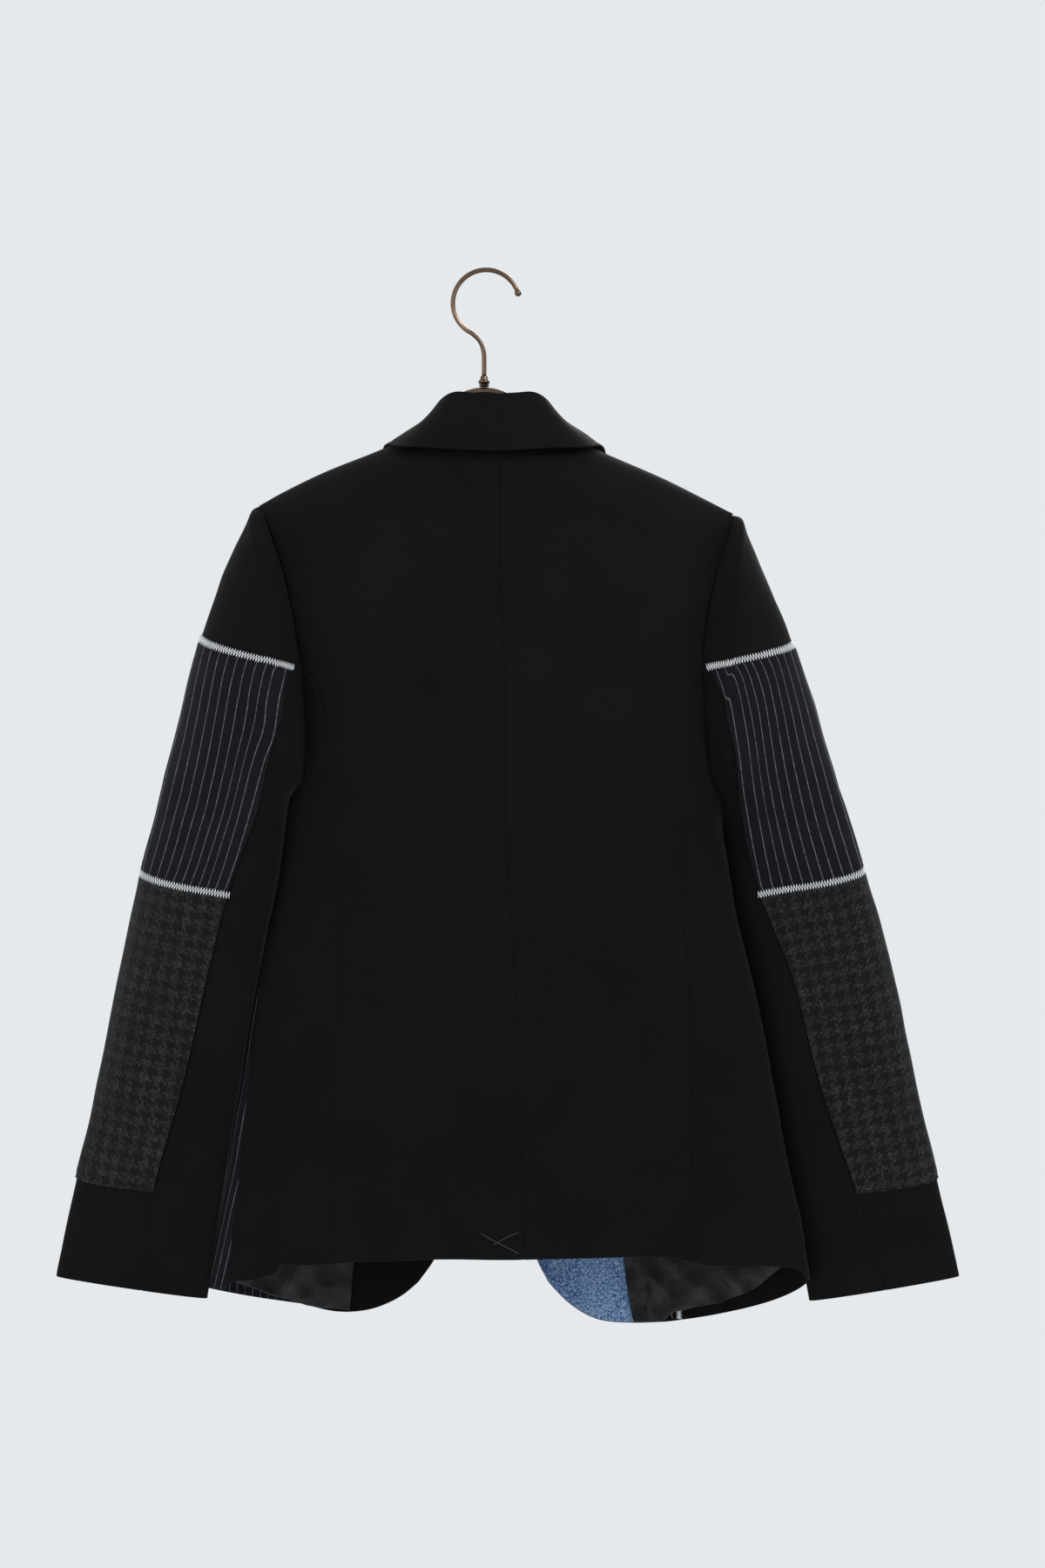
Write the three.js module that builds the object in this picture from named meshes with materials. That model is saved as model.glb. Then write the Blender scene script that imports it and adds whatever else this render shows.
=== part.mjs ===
import * as THREE from 'three';

// Patchwork blazer hanging on a wire hanger, in millimetres, +Z up.
// The back of the blazer faces -Y and its front faces +Y.
// The origin is the inside top of the hook, where the hanger rests.

// Driving dimensions
const SUITING = 1.6;
const LINING = 1.0;
const PATCH_CLOTH = 1.2;
const SEAM_GAP = 0.36;
const SLEEVE_GAP = 0.66;
const LAY_GAP = 0.45;
const PATCH_LAY = 1.25;
const ROUNDNESS = 2.5;
const SHOULDER_RADIUS = 45;
const RIDGE_GAP = 0.25;
const UNDERARM_Z = -402;
const ARMHOLE_LOW_Z = -300;
const BACK_SEAM_Z = -307;
const FRONT_SEAM_Z = -330;
const OVERLAP_LIFT = 7.6;
const LINING_EASE = 3.1;
const FACING_EASE = 1.2;
const LOW_ROWS = 9;
const HIGH_ROWS = 8;
const VENT_TOP_Z = -682;
const VENT_WIDTH = 31;
const HOOK_RADIUS = 26.4;
const HOOK_WIRE = 1.9;
const BALL_RADIUS = 2.8;
const BAR_RADIUS = 3.4;
const STEM_X = -1.4;
const BUTTON_RADIUS = 10;
const BUTTON_HEIGHT = 3.2;

// Girth of the coat by height
// Columns: height, left edge, right edge, depth of the back, depth of the front
const GIRTH = [
  [-60, -188, 204, 30, 28],
  [-140, -188, 204, 35, 32],
  [-186, -187, 203, 38, 34],
  [-230, -173, 191, 44, 38],
  [-300, -155, 182, 52, 44],
  [-350, -147, 179, 56, 49],
  [-402, -143, 178, 57, 52],
  [-430, -156.5, 185, 55, 50],
  [-479, -164.3, 193, 50, 48],
  [-520, -173.5, 201, 48, 47],
  [-581, -186, 216, 47, 46],
  [-632, -194.5, 226, 46, 46],
  [-694, -204, 237, 46, 46],
  [-740, -211, 246.5, 45.5, 48],
  [-800, -218.5, 257, 45, 50],
  [-860, -226, 268, 45, 52],
];

// Shoulder line
// Columns: x, height
const SHOULDER = [
  [-240, -215],
  [-181, -186],
  [-163, -175.6],
  [-127.6, -158.4],
  [-83.5, -140.8],
  [-58, -129],
  [-25, -111],
  [4, -101],
  [33, -111],
  [66, -130],
  [91.8, -142.4],
  [139.4, -163],
  [167.7, -177],
  [198, -192.6],
  [250, -219],
];

// Back edge of each armhole
// Columns: height, x on the left, x on the right
const ARMHOLE = [
  [-186, -181, 198],
  [-194, -174.8, 195],
  [-211, -168.3, 191],
  [-227, -162.8, 184.8],
  [-243, -158, 180.8],
  [-260, -154.3, 177],
  [-276, -151, 174],
  [-300, -147.4, 171],
];

// Centre back seam
// Columns: height, x
const CENTRE_BACK = [
  [-130, 11],
  [-231, 11],
  [-333, 15],
  [-450, 16],
  [-536, 21.5],
  [-637, 25],
  [-705, 28],
  [-790, 30],
];

// Seams between the back and the side panels
// Columns: height, x on the left, x on the right
const SIDE_BACK = [
  [-300, -147.4, 171],
  [-307, -141, 166.5],
  [-328, -133, 164],
  [-343, -129, 163],
  [-384, -123, 160.5],
  [-435, -121, 156.5],
  [-506, -116, 154.5],
  [-563, -115, 159.5],
  [-637, -119, 161],
  [-709, -119.5, 162],
  [-790, -120, 164],
];

// Seams between the front side panels and the fronts
// Columns: height, x on the left, x on the right
const SIDE_FRONT = [
  [-330, -132, 157],
  [-400, -122, 148],
  [-480, -122, 148],
  [-560, -127, 150],
  [-640, -134, 153],
  [-720, -141, 155],
  [-830, -147, 157],
];

// Front edges and roll lines
// Columns: height, x on the left front, x on the right front
const FRONT_EDGE = [
  [-806, -55, 50],
  [-789, -43, 41],
  [-760, -28, 30],
  [-720, -12, 18],
  [-680, -1, 8],
  [-640, 8, -2],
  [-600, 14, -9],
  [-560, 18, -15],
  [-500, 21, -18],
  [-420, 4, 0],
  [-330, -16, 21],
  [-240, -36, 43],
  [-170, -51, 59],
  [-129, -58, 66],
];

// Hem of the fronts
// Columns: x, height
const FRONT_HEM = [
  [-200, -811],
  [-153, -821],
  [-125, -828],
  [-106, -829],
  [-88, -826],
  [-69, -817.5],
  [-55, -806],
  [50, -806],
  [66, -823],
  [85, -835],
  [105, -838.5],
  [139, -837.5],
  [160, -835],
  [188, -831],
  [215, -822],
  [238, -812],
  [254, -801],
];

// Line where each facing ends
// Columns: height, x on the left, x on the right
const FACING_LINE = [
  [-840, -104, 116],
  [-780, -107, 107],
  [-640, -98, 96],
  [-450, -92, 92],
  [-300, -98, 104],
  [-180, -112, 124],
];

// Back neckline
// Columns: x, height
const NECKLINE = [
  [-58, -129],
  [-50, -132],
  [-36, -135],
  [-16, -137],
  [4, -137.5],
  [24, -137],
  [44, -135],
  [58, -132],
  [66, -130],
];

// Sleeves
// Columns: outer x, outer z, inner x, inner z, middle y, half depth, elbow angle, front angle, lean to the front
const SLEEVE_LEFT = [
  [-184.8, -188.5, -145, -404.5, -1, 44, 113, 250, 0],
  [-190.5, -201, -147.5, -407, -2.2, 46, 116, 249, 1],
  [-205, -235, -150.5, -410, -4, 47, 119, 247, 1],
  [-223, -284, -154.5, -416, -5, 45, 122, 245, 2.5],
  [-247, -376, -158, -441, -7, 36, 121, 243, 6],
  [-272, -472, -165.5, -492, -7, 29, 109, 241, 8],
  [-289, -553, -176.5, -540, -6, 24, 106, 240, 9],
  [-309, -651, -194.5, -644, -5, 19, 101, 240, 9],
  [-323, -710, -204, -707, -4, 15.5, 95, 240, 9],
  [-333, -757, -212.5, -762, -3, 13.5, 94, 240, 8],
  [-341, -795.5, -219.8, -811, -2, 12, 97, 240, 8],
];
const SLEEVE_RIGHT = [
  [202.2, -195, 180.2, -404.5, -1, 44, 113, 250, 0],
  [206.8, -208, 182.2, -407, -1.5, 46, 116, 249, -1],
  [218, -235, 184, -410, -1, 47, 119, 247, -2],
  [238.3, -284, 185.5, -416, 0, 45, 123, 245, -5],
  [268.5, -376, 187, -441, 3, 36, 128, 243, -9],
  [298, -472, 192.5, -492, 6, 29, 123, 241, -9],
  [320.5, -553, 205, -548, 7, 24, 112, 240, -9],
  [341.5, -651, 225.5, -646, 8, 19, 106, 240, -8],
  [355, -708, 237, -708, 8, 15.5, 98, 240, -7],
  [367, -758, 248.5, -765, 8, 13.5, 93, 240, -6],
  [375.4, -795, 257, -816, 8, 12, 90, 240, -5],
];

// Edges of the sleeve patches
// Columns: height at the outer edge, height at the elbow seam
const PATCH_LEFT = [[-287, -315], [-473.7, -492], [-716.6, -726]];
const PATCH_RIGHT = [[-293, -315], [-471.7, -492], [-716.6, -729]];

// Collar sections from the centre back to the left end, x from the neck's middle
// Columns: foot x y z, roll x y z, fall edge x y z
const COLLAR = [
  [0, -34, -134.5, 0, -37.5, -100.3, 0, -44.5, -144.8],
  [16, -33.5, -134.5, 16, -37, -99.6, 20, -44.5, -144.2],
  [29, -29.5, -134, 30.5, -33, -98.6, 39, -43.5, -142.8],
  [40.5, -21, -132.5, 41, -24, -103, 59, -38.5, -141.4],
  [49.5, -9, -129, 50, -9, -112.5, 76, -25, -139.6],
  [54, 4, -124.5, 55.5, 5, -117.5, 85, -3, -136.2],
  [54, 15, -133.5, 58, 17, -125.5, 89, 21, -141.5],
  [52, 27, -150, 57, 30, -142, 89, 37, -157],
  [47.5, 36, -177, 52, 40, -169.5, 85, 47, -184.5],
];

const left = { name: 'left', sign: -1, column: 1 };
const right = { name: 'right', sign: 1, column: 2 };
const NECK_X = 6.5;
// Turn of the side seam towards the back at the hem, in radians
const SIDE_TURN = { left: 0.4, right: -0.05 };

// Smooth reading of a table
function read(table, t, column) {
  const rows = table.length;
  const falling = table[0][0] > table[rows - 1][0];
  let i = 0;
  while (i < rows - 2 && (falling ? t < table[i + 1][0] : t > table[i + 1][0])) i += 1;
  const slope = (k) => {
    const a = table[Math.max(k - 1, 0)];
    const b = table[Math.min(k + 1, rows - 1)];
    return (b[column] - a[column]) / (b[0] - a[0]);
  };
  const p = table[i];
  const q = table[i + 1];
  const width = q[0] - p[0];
  const u = (t - p[0]) / width;
  if (u < 0) return p[column] + slope(i) * (t - p[0]);
  if (u > 1) return q[column] + slope(i + 1) * (t - q[0]);
  const u2 = u * u;
  const u3 = u2 * u;
  const start = p[column] * (2 * u3 - 3 * u2 + 1) + slope(i) * width * (u3 - 2 * u2 + u);
  return start + q[column] * (3 * u2 - 2 * u3) + slope(i + 1) * width * (u3 - u2);
}

function mix(a, b, t) {
  return a + (b - a) * t;
}

function ease(t) {
  const u = Math.min(Math.max(t, 0), 1);
  return u * u * (3 - 2 * u);
}

// Coat body: the outer face of the cloth at an angle and a height
// The angle runs from the right side over the front (90 degrees), the left side and the back.
function girthAt(z) {
  const l = read(GIRTH, z, 1);
  const r = read(GIRTH, z, 2);
  return { middle: (l + r) / 2, half: (r - l) / 2, back: read(GIRTH, z, 3), front: read(GIRTH, z, 4) };
}

function roof(drop) {
  const d = Math.min(Math.max(drop / SHOULDER_RADIUS, 0), 1);
  return Math.sqrt(1 - (1 - d) * (1 - d));
}

function bodyPoint(angle, z) {
  const g = girthAt(z);
  const c = Math.cos(angle);
  const s = Math.sin(angle);
  const x = g.middle + g.half * Math.sign(c) * Math.abs(c) ** (2 / ROUNDNESS);
  const depth = s < 0 ? g.back : g.front;
  const rise = roof(read(SHOULDER, x, 1) - z);
  const y = Math.sign(s) * (depth * Math.abs(s) ** (2 / ROUNDNESS) * rise + RIDGE_GAP * (1 - rise));
  return new THREE.Vector3(x, y, z);
}

function bodyNormal(angle, z) {
  const g = girthAt(z);
  const up = girthAt(z + 1);
  const c = Math.cos(angle);
  const s = Math.sin(angle);
  const face = s < 0 ? -1 : 1;
  const t = Math.sign(c) * Math.abs(c) ** (2 / ROUNDNESS);
  const x = g.middle + g.half * t;
  const drop = read(SHOULDER, x, 1) - z;
  const rise = Math.max(roof(drop), 0.01);
  const steep = drop < SHOULDER_RADIUS ? (1 - Math.max(drop, 0) / SHOULDER_RADIUS) / (SHOULDER_RADIUS * rise) : 0;
  const run = (read(SHOULDER, x + 1, 1) - read(SHOULDER, x - 1, 1)) / 2;
  const inside = Math.max(1 - Math.abs(t) ** ROUNDNESS, 1e-5);
  const g0 = inside ** (1 / ROUNDNESS);
  const g1 = -Math.sign(t) * Math.abs(t) ** (ROUNDNESS - 1) * inside ** (1 / ROUNDNESS - 1);
  const depth = face < 0 ? g.back : g.front;
  const depthSlope = (face < 0 ? up.back : up.front) - depth;
  const tSlope = (x - up.middle) / up.half - t;
  const dx = depth * (g1 / g.half) * rise + depth * g0 * steep * run;
  const dz = depthSlope * g0 * rise + depth * g1 * tSlope * rise - depth * g0 * steep;
  return new THREE.Vector3(-dx, face, -dz).normalize();
}

function angleAt(x, z, face, near) {
  const g = girthAt(z);
  const t = Math.min(Math.max((x - g.middle) / g.half, -1), 1);
  const c = Math.sign(t) * Math.abs(t) ** (ROUNDNESS / 2);
  const s = face * Math.sqrt(Math.max(1 - c * c, 0));
  return turnNear(Math.atan2(s, c), near);
}

function turnNear(angle, near) {
  let a = angle;
  while (a < near - Math.PI) a += 2 * Math.PI;
  while (a > near + Math.PI) a -= 2 * Math.PI;
  return a;
}

function sideAngle(side) {
  return side.sign < 0 ? Math.PI : 2 * Math.PI;
}

// Armhole: angle on the body at a height, on the back (-1) or the front (+1)
function armholeAngle(side, z, face) {
  const near = sideAngle(side);
  if (z >= ARMHOLE_LOW_Z) return angleAt(read(ARMHOLE, z, side.column), z, face, near);
  const g = girthAt(ARMHOLE_LOW_Z);
  const start = angleAt(read(ARMHOLE, ARMHOLE_LOW_Z, side.column), ARMHOLE_LOW_Z, face, near);
  const depth0 = face < 0 ? g.back : g.front;
  const y0 = depth0 * Math.abs(Math.sin(start)) ** (2 / ROUNDNESS);
  const low = (ARMHOLE_LOW_Z - z) / (ARMHOLE_LOW_Z - UNDERARM_Z);
  const y = y0 * Math.sqrt(Math.max(1 - low * low, 0));
  const here = girthAt(z);
  const s = Math.min((y / (face < 0 ? here.back : here.front)) ** (ROUNDNESS / 2), 1);
  return turnNear(Math.atan2(face * s, side.sign * Math.sqrt(1 - s * s)), near);
}

// Heights of the rows of one seam, from its low end to its armhole end
function lowHeights(bottom, top, rows) {
  return Array.from({ length: rows + 1 }, (_, i) => mix(bottom, top, i / rows));
}

function highHeights(bottom, top, rows) {
  return Array.from({ length: rows }, (_, i) => top - (top - bottom) * (1 - (i + 1) / rows) ** 1.7);
}

// A seam is a list of angle and height pairs
function seamByX(table, column, heights, face, near) {
  return heights.map((z) => [angleAt(read(table, z, column), z, face, near), z]);
}

const TIP = { left: -186, right: -192.8 };

// Closed wall from a grid of outer points and outward normals
function wall(points, normals, thickness) {
  const rows = points.length;
  const columns = points[0].length;
  const position = [];
  const index = [];
  for (let i = 0; i < rows; i += 1) {
    for (let j = 0; j < columns; j += 1) position.push(...points[i][j].toArray());
  }
  for (let i = 0; i < rows; i += 1) {
    for (let j = 0; j < columns; j += 1) {
      position.push(...points[i][j].clone().addScaledVector(normals[i][j], -thickness).toArray());
    }
  }
  const inner = rows * columns;
  const id = (i, j) => i * columns + j;
  const quad = (a, b, c, d) => index.push(a, b, c, a, c, d);
  for (let i = 0; i < rows - 1; i += 1) {
    for (let j = 0; j < columns - 1; j += 1) {
      quad(id(i, j), id(i, j + 1), id(i + 1, j + 1), id(i + 1, j));
      quad(inner + id(i, j), inner + id(i + 1, j), inner + id(i + 1, j + 1), inner + id(i, j + 1));
    }
  }
  const rim = [];
  for (let j = 0; j < columns - 1; j += 1) rim.push([id(0, j), id(0, j + 1)]);
  for (let i = 0; i < rows - 1; i += 1) rim.push([id(i, columns - 1), id(i + 1, columns - 1)]);
  for (let j = columns - 1; j > 0; j -= 1) rim.push([id(rows - 1, j), id(rows - 1, j - 1)]);
  for (let i = rows - 1; i > 0; i -= 1) rim.push([id(i, 0), id(i - 1, 0)]);
  for (const [a, b] of rim) quad(b, a, inner + a, inner + b);
  return closed(position, index);
}

function closed(position, index) {
  let volume = 0;
  const v = (k) => new THREE.Vector3(position[3 * k], position[3 * k + 1], position[3 * k + 2]);
  for (let k = 0; k < index.length; k += 3) {
    volume += v(index[k]).dot(v(index[k + 1]).cross(v(index[k + 2])));
  }
  if (volume < 0) {
    for (let k = 0; k < index.length; k += 3) [index[k + 1], index[k + 2]] = [index[k + 2], index[k + 1]];
  }
  const geometry = new THREE.BufferGeometry();
  geometry.setAttribute('position', new THREE.Float32BufferAttribute(position, 3));
  geometry.setIndex(index);
  geometry.computeVertexNormals();
  return geometry;
}

// Moves the outer columns of a grid inwards by half a seam gap
function openSeams(points, gap = SEAM_GAP) {
  const last = points[0].length - 1;
  for (const row of points) {
    const a = row[1].clone().sub(row[0]).setLength(gap / 2);
    const b = row[last - 1].clone().sub(row[last]).setLength(gap / 2);
    row[0].add(a);
    row[last].add(b);
  }
}

// Panel of the body between two seams
// bottom and top give the height of the first and last row at an x.
function bodyGrid(from, to, columns, options = {}) {
  const rows = from.length;
  const { bottom, top, reach = 4, spread = (u) => u } = options;
  const grid = [];
  for (let i = 0; i < rows; i += 1) {
    const line = [];
    for (let j = 0; j <= columns; j += 1) {
      const u = spread(j / columns);
      const angle = mix(from[i][0], to[i][0], u);
      let z = mix(from[i][1], to[i][1], u);
      const inner = j > 0 && j < columns;
      if (inner && bottom) {
        const x = bodyPoint(mix(from[0][0], to[0][0], u), mix(from[0][1], to[0][1], u)).x;
        const weight = ease(1 - i / reach);
        z += (bottom(x) - mix(from[0][1], to[0][1], u)) * weight;
      }
      if (inner && top) {
        const x = bodyPoint(mix(from[rows - 1][0], to[rows - 1][0], u), mix(from[rows - 1][1], to[rows - 1][1], u)).x;
        const weight = ease(1 - (rows - 1 - i) / (reach + 3));
        z += (top(x) - mix(from[rows - 1][1], to[rows - 1][1], u)) * weight;
      }
      line.push([angle, z]);
    }
    grid.push(line);
  }
  return grid;
}

function bodyWall(grid, thickness, lift = () => 0, seams = true) {
  const points = grid.map((row) => row.map(([a, z]) => bodyPoint(a, z)));
  const normals = grid.map((row) => row.map(([a, z]) => bodyNormal(a, z)));
  points.forEach((row, i) => row.forEach((p, j) => p.addScaledVector(normals[i][j], lift(p.x, p.z))));
  if (seams) openSeams(points);
  return wall(points, normals, thickness);
}

// Seams of the body
function sideBackSeam(side, hem) {
  const heights = lowHeights(hem, BACK_SEAM_Z, LOW_ROWS);
  return seamByX(SIDE_BACK, side.column, heights, -1, sideAngle(side)).map(([a, z], i) => (
    i === LOW_ROWS ? [armholeAngle(side, z, -1), z] : [a, z]
  ));
}

function armholeRows(side, lowZ, face) {
  const top = TIP[side.name];
  return highHeights(lowZ, top, HIGH_ROWS).map((z) => [armholeAngle(side, z, face), z]);
}

function centreBackSeam() {
  const heights = [...lowHeights(-776, -300, LOW_ROWS), ...highHeights(-300, -137.5, HIGH_ROWS)];
  return seamByX(CENTRE_BACK, 1, heights, -1, 1.5 * Math.PI);
}

function sideFrontSeam(side) {
  const hem = read(FRONT_HEM, side.sign < 0 ? -147 : 157, 1);
  const heights = lowHeights(hem, FRONT_SEAM_Z, LOW_ROWS);
  return seamByX(SIDE_FRONT, side.column, heights, 1, sideAngle(side)).map(([a, z], i) => (
    i === LOW_ROWS ? [armholeAngle(side, z, 1), z] : [a, z]
  ));
}

function sideSeam(side) {
  const hem = side.sign < 0 ? -802 : -796;
  const turn = side.sign < 0 ? SIDE_TURN.left : SIDE_TURN.right;
  return lowHeights(hem, UNDERARM_Z, LOW_ROWS).map((z, i) => (
    [sideAngle(side) + turn * Math.sin((1 - i / LOW_ROWS) * (Math.PI / 2)), z]
  ));
}

function frontEdge(side) {
  const heights = [...lowHeights(-806, -400, LOW_ROWS), ...highHeights(-400, -129.2, HIGH_ROWS)];
  return seamByX(FRONT_EDGE, side.column, heights, 1, side.sign < 0 ? 0.5 * Math.PI : 2.5 * Math.PI);
}

const shoulderOrNeck = (x) => {
  if (x > -58 && x < 66) return read(NECKLINE, x, 1);
  return read(SHOULDER, x, 1);
};

function backPanel(side) {
  const outer = [...sideBackSeam(side, side.sign < 0 ? -780.6 : -779.5), ...armholeRows(side, BACK_SEAM_Z, -1)];
  const grid = bodyGrid(outer, centreBackSeam(), 8, { top: shoulderOrNeck });
  return bodyWall(grid, SUITING);
}

// Armhole edge from the back seam or the front seam down to the underarm
function underarmAngles(side, face, count) {
  const start = face < 0 ? BACK_SEAM_Z : FRONT_SEAM_Z;
  return Array.from({ length: count + 1 }, (_, k) => {
    const turn = (k / count) * Math.PI / 2;
    const z = mix(start, UNDERARM_Z, Math.sin(turn) ** 1.4);
    return [armholeAngle(side, z, face), z];
  });
}

const UNDER_COLUMNS = 4;

// Panel below the armhole, from a back or front seam to the side seam
function underPanel(side, face) {
  const seam = face < 0 ? sideBackSeam(side, side.sign < 0 ? -780.6 : -779.5) : sideFrontSeam(side);
  const middle = sideSeam(side);
  const under = underarmAngles(side, face, UNDER_COLUMNS);
  const rows = seam.length;
  const grid = [];
  for (let i = 0; i < rows; i += 1) {
    const v = i / (rows - 1);
    grid.push(under.map(([angle, z], k) => {
      const u = k / UNDER_COLUMNS;
      const topAngle = mix(seam[rows - 1][0], middle[rows - 1][0], u);
      const topZ = mix(seam[rows - 1][1], middle[rows - 1][1], u);
      const inner = k > 0 && k < UNDER_COLUMNS;
      const weight = ease((v - 0.35) / 0.65);
      const a = mix(seam[i][0], middle[i][0], u) + (inner ? (angle - topAngle) * weight : 0);
      const h = mix(seam[i][1], middle[i][1], u) + (inner ? (z - topZ) * weight : 0);
      return [a, h];
    }));
  }
  return bodyWall(grid, SUITING);
}

function rightLift(x, z) {
  return OVERLAP_LIFT * ease((88 - x) / 60) * ease((z + 830) / 60) * ease((-200 - z) / 160);
}

function frontPanel(side) {
  const outer = [...sideFrontSeam(side), ...armholeRows(side, FRONT_SEAM_Z, 1)];
  const options = {
    bottom: (x) => read(FRONT_HEM, x, 1),
    top: (x) => read(SHOULDER, x, 1),
    reach: 3,
  };
  const grid = bodyGrid(outer, frontEdge(side), 7, options);
  return bodyWall(grid, SUITING, side.sign > 0 ? rightLift : undefined);
}

// Facing behind a front edge, and lining beside it
function insidePanel(side, outerTable, columns, thickness, rise, topZ, fromEdge) {
  const near = side.sign < 0 ? 0.5 * Math.PI : 2.5 * Math.PI;
  const heights = lowHeights(-804, topZ, 9);
  const edge = heights.map((z) => {
    const x = fromEdge ? read(FRONT_EDGE, z, side.column) : read(FACING_LINE, z, side.column);
    return [angleAt(x, z, 1, near), z];
  });
  const outer = heights.map((z) => [angleAt(read(outerTable, z, side.column), z, 1, near), z]);
  const hem = (x) => read(FRONT_HEM, x, 1) + rise;
  const grid = bodyGrid(edge, outer, columns, { bottom: hem, reach: 2 });
  for (const end of [0, columns]) {
    const p = bodyPoint(grid[0][end][0], grid[0][end][1]);
    const z = hem(p.x);
    grid[0][end] = [angleAt(p.x, z, 1, near), z];
  }
  const inwards = -(SUITING + LAY_GAP + (fromEdge ? FACING_EASE : LINING_EASE));
  const lift = side.sign > 0 ? (x, z) => rightLift(x, z) + inwards : () => inwards;
  return bodyWall(grid, thickness, lift);
}

const LINING_SIDE = [
  [-840, -198, 230],
  [-700, -174, 204],
  [-560, -149, 177],
  [-440, -124, 150],
  [-330, -108, 130],
];

// Strip of the right back that lies under the left back at the vent
function ventUnderlay() {
  const heights = lowHeights(-775.5, VENT_TOP_Z, 3);
  const near = 1.5 * Math.PI;
  const from = heights.map((z) => [angleAt(read(CENTRE_BACK, z, 1) - VENT_WIDTH, z, -1, near), z]);
  const to = heights.map((z) => [angleAt(read(CENTRE_BACK, z, 1), z, -1, near), z]);
  return bodyWall(bodyGrid(from, to, 2), SUITING, () => -(SUITING + LAY_GAP));
}

// Lapel lying on a front, from the roll line to its edge
// Columns: height, width beyond the roll line
const LAPEL = [
  [-496, 2],
  [-440, 30],
  [-370, 52],
  [-300, 66],
  [-232, 74],
  [-205, 50],
];

function lapel(side) {
  const heights = lowHeights(-486, -207, 7);
  const near = side.sign < 0 ? 0.5 * Math.PI : 2.5 * Math.PI;
  const roll = heights.map((z) => [angleAt(read(FRONT_EDGE, z, side.column) + side.sign * 1, z, 1, near), z]);
  const edge = heights.map((z) => {
    const x = read(FRONT_EDGE, z, side.column) + side.sign * read(LAPEL, z, 1);
    return [angleAt(x, z, 1, near), z];
  });
  const base = LAY_GAP + 0.5 + SUITING;
  const lift = side.sign > 0 ? (x, z) => rightLift(x, z) + base : () => base;
  return bodyWall(bodyGrid(roll, edge, 4), SUITING, lift);
}

// Sleeves
const ringBack = (side) => armholeRows(side, BACK_SEAM_Z, -1).reverse();
const ringFront = (side) => armholeRows(side, FRONT_SEAM_Z, 1);

function armholeRing(side) {
  const back = ringBack(side).map(([a, z]) => bodyPoint(a, z));
  const backUnder = underarmAngles(side, -1, UNDER_COLUMNS).map(([a, z]) => bodyPoint(a, z));
  const frontUnder = underarmAngles(side, 1, UNDER_COLUMNS).map(([a, z]) => bodyPoint(a, z)).reverse();
  const front = ringFront(side).map(([a, z]) => bodyPoint(a, z));
  const ring = [...back, ...backUnder, ...frontUnder.slice(1), ...front];
  ring.pop();
  ring[0].y = 0;
  return ring;
}

const ELBOW = HIGH_ROWS;
const INNER = HIGH_ROWS + UNDER_COLUMNS;
const FRONT = HIGH_ROWS + 2 * UNDER_COLUMNS;
const AROUND = 2 * HIGH_ROWS + 2 * UNDER_COLUMNS;

function columnAngle(j, elbow, front) {
  if (j <= ELBOW) return mix(0, elbow, j / ELBOW);
  if (j <= INNER) return mix(elbow, 180, (j - ELBOW) / UNDER_COLUMNS);
  if (j <= FRONT) return mix(180, front, (j - INNER) / UNDER_COLUMNS);
  return mix(front, 360, (j - FRONT) / HIGH_ROWS);
}

function sleeveStations(side) {
  const table = side.sign < 0 ? SLEEVE_LEFT : SLEEVE_RIGHT;
  const rings = table.map(([ox, oz, ix, iz, y, depth, elbow, front, lean]) => (
    Array.from({ length: AROUND }, (_, j) => {
      const angle = THREE.MathUtils.degToRad(columnAngle(j, elbow, front));
      const c = Math.cos(angle);
      const s = Math.sin(angle);
      const across = Math.sign(c) * Math.abs(c) ** 0.92;
      const out = Math.sign(s) * Math.abs(s) ** 0.92;
      return new THREE.Vector3(
        (ox + ix) / 2 + ((ox - ix) / 2) * across,
        y + lean * across - depth * out,
        (oz + iz) / 2 + ((oz - iz) / 2) * across,
      );
    })
  ));
  return [armholeRing(side), ...rings];
}

function sleevePoint(stations, s, j) {
  const column = (j + AROUND) % AROUND;
  const last = stations.length - 1;
  const k = Math.min(Math.floor(s), last - 1);
  const u = s - k;
  const p1 = stations[k][column];
  const p2 = stations[k + 1][column];
  const p0 = k > 0 ? stations[k - 1][column] : p1.clone().multiplyScalar(2).sub(p2);
  const p3 = k + 2 <= last ? stations[k + 2][column] : p2.clone().multiplyScalar(2).sub(p1);
  const l01 = Math.max(Math.sqrt(p0.distanceTo(p1)), 0.1);
  const l12 = Math.max(Math.sqrt(p1.distanceTo(p2)), 0.1);
  const l23 = Math.max(Math.sqrt(p2.distanceTo(p3)), 0.1);
  const tangent = (a, b, c, d01, d12) => a.clone().sub(b).multiplyScalar(-1 / d01)
    .add(c.clone().sub(a).multiplyScalar(-1 / (d01 + d12)))
    .add(c.clone().sub(b).multiplyScalar(1 / d12));
  const m1 = tangent(p0, p1, p2, l01, l12).multiplyScalar(l12);
  const m2 = tangent(p1, p2, p3, l12, l23).multiplyScalar(l12);
  const u2 = u * u;
  const u3 = u2 * u;
  return p1.clone().multiplyScalar(2 * u3 - 3 * u2 + 1)
    .addScaledVector(m1, u3 - 2 * u2 + u)
    .addScaledVector(p2, 3 * u2 - 2 * u3)
    .addScaledVector(m2, u3 - u2);
}

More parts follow.
